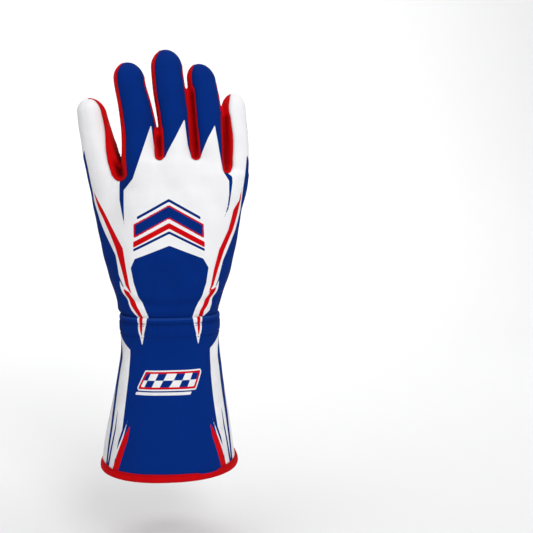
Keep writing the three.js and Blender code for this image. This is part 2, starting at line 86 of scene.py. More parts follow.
# rows: z, x, y, breadth, depth, as shares of HAND_LENGTH, PALM_BREADTH, FINGER_DEPTH, FINGER_BREADTH,
# FINGER_DEPTH. roll: turn about the length (degrees); dome: height of the round tip (of FINGER_BREADTH);
# walls: reach of the red side walls (mm) to the back on the left and right, then to the palm on both;
# narrow: how much less the back's walls reach near the tip, left and right, and where that starts and ends
FINGERS = {
    "thumb": {
        "roll": -36.0, "dome": 0.45, "walls": (5.5, 8.0, 5.5, 11.5), "narrow": (0, 6.6, 46, 14),
        "rows": [
            (0.02, -0.2, 0.15, 1.0, 1.2),
            (0.12, -0.275, 0.3, 1.34, 1.5),
            (0.2, -0.325, 0.34, 1.36, 1.5),
            (0.3, -0.385, 0.38, 1.33, 1.4),
            (0.4, -0.43, 0.42, 1.32, 1.25),
            (0.5, -0.475, 0.44, 1.3, 1.17),
            (0.6, -0.529, 0.48, 1.15, 1.09),
            (0.7, -0.577, 0.53, 0.99, 0.98),
            (0.76, -0.602, 0.55, 0.9, 0.9),
            (0.826, -0.62, 0.56, 0.82, 0.82),
        ],
    },
    "index": {
        "roll": 7.0, "dome": 0.5, "walls": (8.2, 6.2, 8.6, 6.2), "narrow": (1.5, 0, 72, 30),
        "rows": [
            (0.44, -0.17, 0.0, 0.8, 0.8),
            (0.52, -0.21, -0.08, 1.06, 1.15),
            (0.59, -0.222, -0.1, 1.1, 1.2),
            (0.7, -0.226, -0.06, 1.105, 1.08),
            (0.8, -0.2595, 0.02, 1.03, 1.02),
            (0.88, -0.297, 0.12, 0.965, 0.97),
            (0.957, -0.312, 0.22, 0.9, 0.92),
        ],
    },
    "middle": {
        "roll": 9.0, "dome": 0.55, "walls": (6.2, 6.1, 8.8, 6.0), "narrow": (0, 0, 20, 10),
        "rows": [
            (0.44, 0.08, -0.05, 0.8, 0.9),
            (0.52, 0.066, -0.12, 1.0, 1.2),
            (0.6, 0.061, -0.16, 1.0, 1.22),
            (0.72, 0.05, -0.1, 0.97, 1.08),
            (0.86, 0.014, 0.02, 1.0, 1.03),
            (0.93, -0.001, 0.12, 0.97, 0.98),
            (1.006, -0.01, 0.22, 0.92, 0.92),
        ],
    },
    "ring": {
        "roll": 15.0, "dome": 0.52, "walls": (5.6, 5.0, 9.2, 5.0), "narrow": (0, 0, 20, 10),
        "rows": [
            (0.44, 0.33, 0.0, 0.8, 0.85),
            (0.52, 0.344, -0.08, 0.98, 1.14),
            (0.6, 0.333, -0.1, 0.965, 1.16),
            (0.72, 0.313, -0.04, 0.965, 1.04),
            (0.82, 0.295, 0.06, 0.94, 0.98),
            (0.89, 0.274, 0.14, 0.88, 0.93),
            (0.956, 0.254, 0.24, 0.84, 0.88),
        ],
    },
    "little": {
        "roll": 20.0, "dome": 0.45, "walls": (8.5, 3.6, 8.4, 3.5), "narrow": (2.2, 0, 34, 8),
        "rows": [
            (0.38, 0.46, 0.05, 0.6, 0.6),
            (0.47, 0.517, 0.05, 0.76, 0.95),
            (0.55, 0.54, 0.05, 0.79, 1.02),
            (0.65, 0.548, 0.08, 0.79, 0.92),
            (0.75, 0.536, 0.16, 0.77, 0.84),
            (0.846, 0.535, 0.26, 0.7, 0.76),
        ],
    },
}
NAMES = list(FINGERS)

# Where two fingers part. x and z: the red edge's lowest point on the back (shares of PALM_BREADTH and
# HAND_LENGTH); back and palm: the widths of its U (shares of FINGER_BREADTH); top: where the walls lie open
# again, as x, z and width; through: how deep the back's U reaches (of GUSSET_HEIGHT); touch: the share of
# HAND_LENGTH below which the fingers press together, and fill: how far (mm); core: width (of
# FINGER_BREADTH) and top (of HAND_LENGTH) of the valley between them, sunk and darkened with painted shade
WEBS = [
    {
        "between": ("thumb", "index"), "x": -0.383, "z": 0.512, "back": 0.43, "palm": 0.0,
        "top": (-0.405, 0.585, 0.46), "through": 0.8, "touch": 0.56, "fill": 3.0, "core": (0.3, 0.6),
    },
    {
        "between": ("index", "middle"), "x": -0.067, "z": 0.59, "back": 0.27, "palm": 0.2,
        "top": (-0.075, 0.7, 0.24), "through": 0.5, "touch": 0.702, "fill": 4.0, "core": (0.14, 0.695),
    },
    {
        "between": ("middle", "ring"), "x": 0.22, "z": 0.59, "back": 0.275, "palm": 0.2,
        "top": (0.185, 0.85, 0.2), "through": 0.5, "touch": 0.87, "fill": 5.0, "core": (0.19, 0.86),
    },
    {
        "between": ("ring", "little"), "x": 0.468, "z": 0.542, "back": 0.27, "palm": 0.2,
        "top": (0.46, 0.75, 0.23), "through": 0.5, "touch": 0.812, "fill": 4.0, "core": (0.19, 0.8),
    },
]
PALM_WEB_DROP = 0.022

# Share of the cuff's length below the wrist seam, and the flare there
CUFF_ROWS = [
    (0, 0.01), (0.09, 0.01), (0.15, -0.02), (0.24, 0.01), (0.35, 0.15), (0.52, 0.37), (0.7, 0.62),
    (0.84, 0.82), (1, 1),
]

# Seams on the palm side, from the cuff upwards: shares of PALM_BREADTH and HAND_LENGTH
PALM_SEAM_THUMB = [(-0.285, 0), (-0.245, 0.13), (-0.4, 0.23)]
PALM_SEAM_THUMB_UPPER = [(-0.465, 0.31), (-0.525, 0.4), (-0.562, 0.46)]
PALM_SEAM_LITTLE = [(0.29, 0), (0.345, 0.06), (0.43, 0.15), (0.5, 0.24), (0.57, 0.34), (0.645, 0.44)]
SIDE_LINE = 0.1 * PALM_DEPTH

# Height of the strip along the little finger's side, as a share of GUSSET_HEIGHT, by share of HAND_LENGTH
OUTER_STRIP = [(-0.06, 0.6), (0.1, 0.6), (0.3, 0.6), (0.42, 0.7), (0.52, 0.8)]

# Pads: outlines as shares of PALM_BREADTH and HAND_LENGTH
PADS = {
    "knuckle_pad": [
        (-0.3, 0.5), (-0.27, 0.535), (-0.2, 0.545), (-0.05, 0.54), (0.12, 0.525), (0.3, 0.5), (0.47, 0.462),
        (0.535, 0.438), (0.55, 0.41), (0.53, 0.365), (0.49, 0.335), (0.43, 0.335), (0.3, 0.365), (0.1, 0.405),
        (-0.1, 0.44), (-0.24, 0.46), (-0.29, 0.475),
    ],
    "thenar_pad": [
        (-0.33, 0.39), (-0.28, 0.41), (-0.21, 0.407), (-0.12, 0.375), (-0.05, 0.325), (-0.012, 0.27),
        (-0.008, 0.22), (-0.03, 0.165), (-0.06, 0.11), (-0.075, 0.085), (-0.05, 0.062), (0.0, 0.05),
        (0.05, 0.048), (0.075, 0.03), (0.06, -0.03), (-0.26, -0.03), (-0.225, 0.1), (-0.18, 0.19),
        (-0.175, 0.25), (-0.215, 0.31), (-0.28, 0.36),
    ],
    "hypothenar_pad": [
        (0.12, 0.055), (0.135, 0.105), (0.185, 0.19), (0.25, 0.265), (0.33, 0.31), (0.41, 0.318),
        (0.455, 0.295), (0.45, 0.24), (0.41, 0.17), (0.36, 0.105), (0.29, 0.055), (0.2, 0.03), (0.14, 0.035),
    ],
}

# Pads on the thumb: across as a share of FINGER_BREADTH, z as a share of HAND_LENGTH
THUMB_PADS = {
    "thumb_tip_pad": [
        (-0.3, 0.7), (-0.27, 0.76), (-0.1, 0.785), (0.1, 0.78), (0.3, 0.76), (0.5, 0.75), (0.5, 0.64),
        (0.25, 0.635), (0.0, 0.63), (-0.2, 0.645),
    ],
    "thumb_base_pad": [
        (-0.22, 0.555), (-0.18, 0.59), (0.0, 0.605), (0.2, 0.612), (0.5, 0.615), (0.47, 0.56), (0.4, 0.51),
        (0.25, 0.495), (0.05, 0.495), (-0.14, 0.515),
    ],
}

# Print on the back of the hand, in millimetres of x and z
BLUE_BACK = {
    "index": [
        (-38, 101), (-36, 101), (-35.7, 87), (-32.6, 68.5), (-32.5, 94), (-25.7, 102.4), (-12.1, 142),
        (-9.4, 125), (-6, 116), (-6, 135), (-10, 155), (-14, 205), (-48, 205), (-43, 165), (-40, 140),
        (-38, 125),
    ],
    "middle": [
        (-4, 117.5), (-2.2, 118.4), (5.2, 132.1), (12.4, 146.2), (14.7, 127.2), (16.9, 120), (17.5, 116),
        (18.5, 131), (17, 150), (15.2, 175), (14, 205), (-14, 205), (-10.5, 165), (-8.2, 146), (-6, 125),
    ],
    "ring": [
        (20, 119), (23.5, 118.5), (29.4, 132.3), (34.7, 142), (37.5, 123.6), (39.7, 112.7), (41.2, 106.8),
        (44.8, 100.9), (44.5, 90.6), (43.2, 82), (40.1, 72.3), (44.1, 81), (45.9, 90.6), (47.4, 100.1),
        (47.2, 104), (43, 108), (42.5, 125), (41, 150), (38, 175), (36, 205), (14.2, 205), (15.2, 175),
        (17, 150), (18.6, 131),
    ],
    "thumb_side": [
        (-62.9, 128), (-61.6, 124), (-59.6, 112), (-57.6, 101), (-55.3, 86.6), (-51.2, 71.8),
        (-44.5, 57), (-39.2, 46.3), (-36.7, 31.7), (-34.9, 27), (-32.2, 21.4), (-34.6, 24.4), (-36.3, 28.2),
        (-35.8, 23.8), (-34.6, 20.4), (-32.9, 16.2), (-30.4, 12.6), (-27.8, 6.2), (-23.4, 1.2),
        (-23, -15), (-90, -15), (-90, 128),
    ],
    "little_side": [
        (59.6, 128), (57.4, 109), (55.2, 94.1), (53.3, 79.1), (49.3, 64.2), (43, 49.6), (39.8, 42.2),
        (36, 28.4), (34.8, 25.6), (32.6, 21), (34.9, 24.2), (36.7, 27.8), (36, 23.4), (34.6, 19.4),
        (33.2, 16.4), (31, 12.6), (29.1, 5), (24.3, 0.7), (24, -15), (90, -15), (90, 128),
    ],
    "centre": [
        (-24.9, 44.2), (-28, 37.4), (-25.9, 26.5), (-22.4, 16.3), (-18.1, 8.3), (-15.2, 0.6), (-15, -15),
        (16, -15), (16.1, 0), (18.5, 7.7), (22.2, 13.5), (26.8, 25.9), (28.6, 37.4), (24.9, 44.2),
        (0.2, 54),
    ],
}
RED_BACK = {
    "thumb_side": [
        (-56.2, 94.1), (-51.4, 79.3), (-44.3, 64.5), (-39.1, 51.5), (-34.7, 35.6), (-31.9, 24.6),
        (-26.8, 17.6), (-29.3, 24.8), (-31.3, 35.8), (-33.7, 51.9), (-40.6, 64.6), (-48.3, 79.4),
    ],
    "thumb_side_wrist": [
        (-33.5, 22.2), (-31.3, 16.5), (-28.4, 10.8), (-24.8, 4.9), (-21.8, 1), (-21, -12), (-19.2, -12),
        (-19.7, 1.5), (-22.5, 7.4), (-26.1, 13.9), (-29, 19.7),
    ],
    "little_side": [
        (54.8, 97.8), (53.6, 86.7), (51.6, 79.2), (47.3, 64.4), (40.6, 49.7), (35.6, 35), (32.1, 24),
        (27.5, 17.6), (30.2, 24.1), (32.5, 35.2), (36.7, 50), (43.7, 64.6), (47.6, 79.4), (52.4, 86.7),
    ],
    "little_side_wrist": [
        (34.4, 22.9), (33.2, 20), (29.4, 12.8), (25.2, 5.5), (23.6, 0), (23, -12), (21, -12), (20.6, 0.3),
        (22.2, 5.9), (26, 13.2), (29.8, 20.4),
    ],
}
# Print on the palm side of the back and side panels
BLUE_PALM_SIDE = {
    "thumb_side": [(-90, 57), (-55, 57), (-49, 45), (-42, 27), (-35, 9), (-32, 4), (-31, -15), (-90, -15)],
    "little_side": [(90, 16), (43, 16), (38, 5), (35.5, -15), (90, -15)],
}
RED_PALM_SIDE = {
    "thumb_side": [(-60, 70), (-56, 58), (-50, 46), (-43, 30), (-31, 12), (-40, 35), (-47, 51), (-53, 65)],
}

# Print on the cuff: degrees round it from the middle of the back, and millimetres of z. Each shape is drawn
# towards +X and, mirrored, towards -X.
CUFF_WHITE = {
    "seam_shard": [(23, 3), (26, -7.6), (31, -19.8), (35, -7.9), (37, 3)],
    "front_wedge": [
        (97, -9), (50, -23.5), (47, -41.8), (47, -67), (47, -81.4), (50, -88.9), (54, -119), (65, -119),
        (65.4, -100), (65.6, -83), (66.5, -65), (67, -48), (67.5, -31), (72, -24),
    ],
    "front_sliver": [(41, -73.6), (44, -85.9), (51, -102.3), (55, -105), (47, -88.5)],
    "side_wedge": [
        (80, -54), (86, -64), (95, -101), (124, -47), (138, -83), (141, -119), (69, -119), (70.2, -100),
        (72.2, -83), (76, -67),
    ],
    "palm_strip": [
        (131, 3), (131.5, -20), (131, -44), (137, -83), (138, -119), (144, -119), (142.5, -83), (142, -55),
        (144.5, -23), (145.5, 3),
    ],
}
CUFF_BLUE_OVER = {
    "front_line": [(59, -62.7), (57.5, -83), (60, -102), (62.5, -119), (67, -119), (63.5, -102), (60, -83)],
    "palm_line": [(124, -83), (117, -104), (110, -119), (115, -119), (120, -104)],
    "palm_spike": [(143, -92), (140, -106), (137, -119), (141, -119), (143, -106)],
}
CUFF_RED = {
    "seam_shard": [(29, 3), (29.5, -7.7), (31, -13.8), (32.5, -7.8), (34, 3)],
    "front_shard": [
        (37, -76.7), (38, -87.3), (45, -108.2), (47, -119), (57, -119), (53, -108.3), (45, -88.2),
    ],
    "palm_shard": [(133, -15), (124, -45), (137.5, -84), (131.5, -45)],
}
CUFF_RADIUS = 43.0
# A chequered band on the middle of the cuff, with a thin line under it: arc and height in millimetres
CHECK_WIDTH = 6.0
CHECK_HEIGHT = 5.5
CUFF_BAND = [(-23, -50), (17, -50), (22.5, -39), (-17.5, -39)]
BAND_SLANT = 0.5
CUFF_RULE = [(-26.5, -55), (13.5, -55), (14.5, -53), (-25.5, -53)]
# Lines round the band: half a width, and how far out the white one lies
BAND_RED_LINE = 0.7
BAND_WHITE_LINE = 0.5
BAND_WHITE_PLACE = 1.4

# Plain chevrons on the back of the hand: apex height, half width, drop, thickness
BLUE_CHEVRONS = [(88, 23, 13, 2.2), (83, 25, 14, 9), (64.5, 26, 13, 2)]
RED_CHEVRON = (70.5, 26, 14, 4.2)
CHEVRON_SHIFT = 0.2  # x of the apexes
CHEVRON_LINE = 0.55  # half the width of the red line round the middle one


def smooth_column(stations, values, at):
    """A smooth curve through a table's column, held constant past its ends."""
    stations = np.asarray(stations, float)
    values = np.asarray(values, float)
    slopes = np.gradient(values, stations)
    at = np.clip(at, stations[0], stations[-1])
    i = np.clip(np.searchsorted(stations, at) - 1, 0, len(stations) - 2)
    step = stations[i + 1] - stations[i]
    t = (at - stations[i]) / step
    start = (2 * t**3 - 3 * t**2 + 1) * values[i] + (t**3 - 2 * t**2 + t) * step * slopes[i]
    end = (3 * t**2 - 2 * t**3) * values[i + 1] + (t**3 - t**2) * step * slopes[i + 1]
    return start + end


def table_column(rows, at):
    """The smooth curve through a table of pairs."""
    return smooth_column([row[0] for row in rows], [row[1] for row in rows], at)


def smoothstep(value, low, high):
    t = np.clip((value - low) / (high - low), 0, 1)
    return t * t * (3 - 2 * t)


def bell(value, middle, width):
    """1 at the middle, fading to 0 on both sides."""
    return np.exp(-(((value - middle) / width) ** 2))


def smooth_min(a, b, width):
    """The smaller of two, with a rounded change from one to the other."""
    h = np.clip(0.5 + 0.5 * (b - a) / width, 0, 1)
    return b + (a - b) * h - width * h * (1 - h)


LEAST_SLOPE = 0.6  # of a tube's field, times the half width


class Tube:
    """A finger or the palm: a stack of rounded horizontal sections with a round tip."""

    def __init__(self, z, x, y, half_width, half_depth, roll, dome, root_round):
        self.z, self.x, self.y = z, x, y
        self.half_width, self.half_depth = half_width, half_depth
        self.turn = math.radians(roll)
        self.bottom, self.tip = z[0], z[-1]
        self.dome = dome
        self.root_round = root_round

    def local(self, points):
        """Across and towards the palm from the middle, with the half sizes there."""
        z = points[:, 2]
        dx = points[:, 0] - np.interp(z, self.z, self.x)
        dy = points[:, 1] - np.interp(z, self.z, self.y)
        c, s = math.cos(self.turn), math.sin(self.turn)
        half_width = np.interp(z, self.z, self.half_width)
        half_depth = np.interp(z, self.z, self.half_depth)
        return dx * c + dy * s, -dx * s + dy * c, half_width, half_depth

    def field(self, points):
        """Roughly the distance to the surface, negative inside."""
        u, v, half_width, half_depth = self.local(points)
        a, b = np.abs(u) / half_width, np.abs(v) / half_depth
        n = SECTION_POWER
        flat = np.maximum((a**n + b**n) ** (1 / n), 1e-4)
        rise = np.maximum(points[:, 2] - (self.tip - self.dome), 0) / self.dome
        if self.root_round:
            rise = rise + np.maximum(self.bottom + self.root_round - points[:, 2], 0) / self.root_round
        g = np.sqrt(flat**2 + rise**2)
        slope_u = a ** (n - 1) * flat ** (1 - n) / half_width
        slope_v = b ** (n - 1) * flat ** (1 - n) / half_depth
        slope = np.sqrt((slope_u**2 + slope_v**2) * (flat / g) ** 2 + (rise / (g * self.dome)) ** 2)
        return (g - 1) / np.maximum(slope, LEAST_SLOPE / half_width)


def finger_tube(spec):
    """A finger's tube from its entry in FINGERS."""
    rows = np.array(spec["rows"])
    z = np.linspace(rows[0, 0], rows[-1, 0], 200)
    x, y, breadth, depth = (smooth_column(rows[:, 0], rows[:, i], z) for i in range(1, 5))
    return Tube(
        z * HAND_LENGTH, x * PALM_BREADTH, y * FINGER_DEPTH,
        breadth * FINGER_BREADTH / 2, depth * FINGER_DEPTH / 2,
        spec["roll"], spec["dome"] * FINGER_BREADTH, FINGER_BREADTH / 2,
    )


# z where the wrist's section starts to change into the hand's, and the height over which it does
PALM_START = 0.5
PALM_EASE = 5.5
PALM_DOME = 9.0


def palm_tube():
    """The palm, which eases from the round wrist into the hand's own section."""
    rows = np.array(PALM_ROWS)
    z = np.linspace(-LAP_LENGTH - 5, rows[-1, 0] * HAND_LENGTH, 300)
    left, right, back, palm = (smooth_column(rows[:, 0], rows[:, i], z / HAND_LENGTH) for i in range(1, 5))
    to_hand = np.sin(np.clip((z - PALM_START) / PALM_EASE, 0, 1) * math.pi / 2)
    x = PALM_BREADTH * (left + right) / 2 * to_hand
    y = PALM_DEPTH * (back + palm) / 2 * to_hand
    half_width = PALM_BREADTH * (right - left) / 2 * to_hand + WRIST_BREADTH / 2 * (1 - to_hand)
    half_depth = PALM_DEPTH * (palm - back) / 2 * to_hand + WRIST_DEPTH / 2 * (1 - to_hand)
    return Tube(z, x, y, half_width, half_depth, 0.0, PALM_DOME, 0)


TUBES = {name: finger_tube(spec) for name, spec in FINGERS.items()}
PALM = palm_tube()
# Roundness where fingers meet when open and where all meet the palm, and the fade of their touching
OPEN_BLEND = 0.8
PALM_BLEND = 7.5
TOUCH_FADE = 5


def hand_field(points):
    """The whole hand: neighbouring fingers press together near their roots, and all melt into the palm."""
    z = points[:, 2]
    total = TUBES["thumb"].field(points)
    for web in WEBS:
        level = web["touch"] * HAND_LENGTH
        pressed = 1 - smoothstep(z, level - TOUCH_FADE, level + TOUCH_FADE)
        blend = OPEN_BLEND + (web["fill"] - OPEN_BLEND) * pressed
        total = smooth_min(total, TUBES[web["between"][1]].field(points), blend)
    return smooth_min(PALM.field(points), total, PALM_BLEND)


def gradient(field, points, step=0.15):
    """The field's slope in x, y and z at each point."""
    columns = []
    for axis in range(3):
        move = np.zeros(3)
        move[axis] = step
        columns.append((field(points + move) - field(points - move)) / (2 * step))
    return np.stack(columns, 1)


def unit(vectors):
    return vectors / np.maximum(np.linalg.norm(vectors, axis=1, keepdims=True), 1e-9)


FLATTEST = 0.2  # slope below which a step to the surface isn't made longer
LONGEST_STEP = 1.5


def onto_surface(points, rounds=2):
    """The points pulled onto the hand's surface."""
    for _ in range(rounds):
        slope = gradient(hand_field, points)
        move = hand_field(points)[:, None] * slope / np.maximum((slope**2).sum(1, keepdims=True), FLATTEST)
        points = points - np.clip(move, -LONGEST_STEP, LONGEST_STEP)
    return points


def surface_mesh(low, high, pitch):
    """Quads where the hand's field changes sign on a grid, split in two and pulled onto the surface."""
    axes = [np.arange(low[i], high[i] + pitch, pitch) for i in range(3)]
    shape = tuple(len(axis) for axis in axes)
    grid = np.stack(np.meshgrid(*axes, indexing="ij"), -1).reshape(-1, 3)
    inside = (hand_field(grid) < 0).reshape(shape)
    cells = tuple(n - 1 for n in shape)
    count = np.zeros(cells, int)
    for dx in (0, 1):
        for dy in (0, 1):
            for dz in (0, 1):
                count += inside[dx:dx + cells[0], dy:dy + cells[1], dz:dz + cells[2]]
    active = (count > 0) & (count < 8)
    index = np.full(cells, -1)
    index[active] = np.arange(active.sum())
    centres = (np.argwhere(active) + 0.5) * pitch + np.array(low)
    quads = []
    for axis in range(3):
        near, far = [slice(None)] * 3, [slice(None)] * 3
        near[axis], far[axis] = slice(0, -1), slice(1, None)
        enters = inside[tuple(near)] & ~inside[tuple(far)]
        leaves = ~inside[tuple(near)] & inside[tuple(far)]
        b, c = (axis + 1) % 3, (axis + 2) % 3
        for crossing, flip in ((enters, False), (leaves, True)):
            at = np.argwhere(crossing)
            at = at[(at[:, b] > 0) & (at[:, c] > 0) & (at[:, b] < cells[b]) & (at[:, c] < cells[c])]
            corners = []
            for db, dc in ((1, 1), (0, 1), (0, 0), (1, 0)):
                cell = at.copy()
                cell[:, b] -= db
                cell[:, c] -= dc
                corners.append(index[tuple(cell.T)])
            quad = np.stack(corners, 1)
            quads.append(quad[:, ::-1] if flip else quad)
    quads = np.concatenate(quads)
    quads = quads[(quads >= 0).all(1)]
    faces = np.concatenate([quads[:, [0, 1, 2]], quads[:, [0, 2, 3]]])
    points = onto_surface(centres)
    edges = np.unique(np.sort(face_edges(faces), axis=1), axis=0)
    for _ in range(3):
        points = onto_surface(relaxed(points, edges), 1)
    return points, faces


def face_edges(faces):
    """Each triangle's first edges, then their second and third ones, in the direction of the faces."""
    return np.concatenate([faces[:, [0, 1]], faces[:, [1, 2]], faces[:, [2, 0]]])


def relaxed(points, edges, amount=0.5):
    """Each point moved towards the mean of its neighbours."""
    total = np.zeros_like(points)
    for i, j in ((0, 1), (1, 0)):
        for axis in range(3):
            total[:, axis] += np.bincount(edges[:, i], points[edges[:, j], axis], len(points))
    number = np.bincount(edges.ravel(), minlength=len(points))[:, None]
    return points + amount * (total / np.maximum(number, 1) - points)


def cut(points, faces, values):
    """Triangles split along values = 0: points, faces, and whether each face is on the negative side."""
    values = np.where(np.abs(values) < 1e-6, 1e-6, values)
    negative = values[faces] < 0
    number = negative.sum(1)
    crossing = (number == 1) | (number == 2)
    f, neg = faces[crossing], negative[crossing]
    lone_negative = number[crossing] == 1
    lone = np.where(lone_negative[:, None], neg, ~neg).argmax(1)
    order = (lone[:, None] + np.arange(3)) % 3
    a, b, c = np.take_along_axis(f, order, 1).T
    edges = np.concatenate([np.stack([a, b], 1), np.stack([a, c], 1)])
    pairs, back = np.unique(np.sort(edges, axis=1), axis=0, return_inverse=True)
    back = back.reshape(-1)
    share = (values[pairs[:, 0]] / (values[pairs[:, 0]] - values[pairs[:, 1]]))[:, None]
    added = points[pairs[:, 0]] * (1 - share) + points[pairs[:, 1]] * share
    ab, ac = len(points) + back[: len(f)], len(points) + back[len(f):]
    tips = np.stack([a, ab, ac], 1)
    rest = np.concatenate([np.stack([ab, b, c], 1), np.stack([ab, c, ac], 1)])
    new_faces = np.concatenate([faces[~crossing], tips, rest])
    side = np.concatenate([number[~crossing] == 3, lone_negative, ~lone_negative, ~lone_negative])
    return np.concatenate([points, added]), new_faces, side


def compact(points, faces):
    """Without the points that no face uses."""
    used, back = np.unique(faces, return_inverse=True)
    return points[used], back.reshape(faces.shape)


def subdivided(points, faces):
    """Each triangle as four."""
    pairs, back = np.unique(np.sort(face_edges(faces), axis=1), axis=0, return_inverse=True)
    back = back.reshape(-1) + len(points)
    middle = points[pairs].mean(1)
    n = len(faces)
    ab, bc, ca = back[:n], back[n:2 * n], back[2 * n:]
    a, b, c = faces.T
    parts = [(a, ab, ca), (ab, b, bc), (ca, bc, c), (ab, bc, ca)]
    return np.concatenate([points, middle]), np.concatenate([np.stack(p, 1) for p in parts])


def shell(outer, inner, faces):
    """A closed wall between two copies of the same open surface."""
    n = len(outer)
    edges = face_edges(faces)
    _, first, number = np.unique(np.sort(edges, axis=1), axis=0, return_index=True, return_counts=True)
    a, b = edges[first[number == 1]].T
    walls = np.concatenate([np.stack([b, a, a + n], 1), np.stack([b, a + n, b + n], 1)])
    return np.concatenate([outer, inner]), np.concatenate([faces, faces[:, ::-1] + n, walls])


def polygon_distance(xz, outline):
    """Signed distance in the plane to an outline, negative inside."""
    outline = np.asarray(outline, float)
    nearest = np.full(len(xz), 1e9)
    inside = np.zeros(len(xz), bool)
    for p, q in zip(outline, np.roll(outline, -1, axis=0)):
        edge = q - p
        offset = xz - p
        t = np.clip(offset @ edge / max(edge @ edge, 1e-9), 0, 1)
        nearest = np.minimum(nearest, ((offset - t[:, None] * edge) ** 2).sum(1))
        crosses = (p[1] > xz[:, 1]) != (q[1] > xz[:, 1])
        if p[1] != q[1]:
            inside ^= crosses & (xz[:, 0] < (q[0] - p[0]) * (xz[:, 1] - p[1]) / (q[1] - p[1]) + p[0])
    distance = np.sqrt(nearest)
    return np.where(inside, -distance, distance)


def shape_distance(xz, outlines):
    """Signed distance in the plane to the nearest of several outlines."""
    return np.minimum.reduce([polygon_distance(xz, outline) for outline in outlines])


def capsule_distance(xz, start, end, start_radius, end_radius):
    axis = np.subtract(end, start)
    offset = xz - start
    t = np.clip(offset @ axis / (axis @ axis), 0, 1)
    reach = np.linalg.norm(offset - t[:, None] * axis, axis=1)
    return reach - (start_radius + (end_radius - start_radius) * t)


def web_line(web, key):
    """The middle line of a web's U in the plane, with its width at both ends."""
    width = web[key] * FINGER_BREADTH
    drop = PALM_WEB_DROP if key == "palm" else 0
    foot = (web["x"] * PALM_BREADTH, (web["z"] - drop) * HAND_LENGTH + width / 2)
    x, z, top_width = web["top"]
    return foot, (x * PALM_BREADTH, z * HAND_LENGTH), width, top_width * FINGER_BREADTH


PALM_WEB_START = 2  # y from which the palm's U is drawn
FIELD_TO_GAP = 0.7  # turns the difference of two fingers' fields into the way to the crease between them


def web_distance(points, web):
    """Distance to the U-shaped foot of the side walls between two fingers."""
    xz, y, z = points[:, [0, 2]], points[:, 1], points[:, 2]
    foot, top, width, top_width = web_line(web, "back")
    on_back = capsule_distance(xz, foot, top, width / 2, top_width / 2)
    best = np.maximum(on_back, y - web["through"] * GUSSET_HEIGHT)
    if web["palm"]:
        foot, top, width, _ = web_line(web, "palm")
        first, second = (TUBES[name].field(points) for name in web["between"])
        beside = np.abs(first - second) * FIELD_TO_GAP
        crease = np.sqrt(beside**2 + np.maximum(foot[1] - z, 0) ** 2) - width / 2
        best = np.minimum(best, np.maximum.reduce([crease, z - top[1], PALM_WEB_START - y]))
    return best


VALLEY_FADE = (-1, 5)  # y over which the valley, sunk and darkened with painted shade, ends towards the palm
VALLEY_TOP_FADE = (-6, 2)  # z over which it ends at its top, from there


def web_core(points, webs=WEBS):
    """1 in the middle of the valley between two fingers, fading to 0 beside it."""
    core = np.zeros(len(points))
    on_back = 1 - smoothstep(points[:, 1], *VALLEY_FADE)
    for web in webs:
        breadth, level = web["core"][0] * FINGER_BREADTH / 2, web["core"][1] * HAND_LENGTH
        foot, top, _, _ = web_line(web, "back")
        away = capsule_distance(points[:, [0, 2]], foot, top, 0, 0)
        below = 1 - smoothstep(points[:, 2], level + VALLEY_TOP_FADE[0], level + VALLEY_TOP_FADE[1])
        core = np.maximum(core, bell(away, 0, breadth) * on_back * below)
    return core


THUMB_OUTER = 4.5  # how far the thumb's outer seam lies towards the palm
# The thumb's strip: half its height at the start and the growth to the tip (of GUSSET_HEIGHT), and its
# length (of FINGER_BREADTH)
THUMB_STRIP_SHARES = (0.02, 0.22)
THUMB_STRIP_LENGTH = 1.1
WEB_BLEND = 3.0
# How far the back panel comes over a fingertip towards the palm, and how far below the tip that starts
TIP_WRAP = 8.0
TIP_WRAP_REACH = 18
# The share that the palm's side of a red wall loses at the tip, and how far below it that starts
TIP_NARROW = 0.3
TIP_NARROW_REACH = 14
STRIP_START = 20  # x from which the strip down the hand's side is drawn
SIDE_CHANGE = 0.6  # share of the half width over which one side's values change into the other's
PALM_LEAD = 0.5  # by how much the palm wins over a finger where both are equally near


def web_start(web):
    """The height at which the side walls rise from a web."""
    return web["z"] * HAND_LENGTH + web["back"] * FINGER_BREADTH / 2


LEFT_WEB = {web["between"][1]: web for web in WEBS}
RIGHT_WEB = {web["between"][0]: web for web in WEBS}


def owners(points):
    """Which tube each point lies on: 0 to 4 for the fingers, 5 for the palm."""
    fields = [tube.field(points) for tube in TUBES.values()] + [PALM.field(points) - PALM_LEAD]
    return np.argmin(np.stack(fields), axis=0)


def strip_height(z):
    """Half the height of the strip down the hand's outer side."""
    return table_column(OUTER_STRIP, z / HAND_LENGTH) * GUSSET_HEIGHT / 2


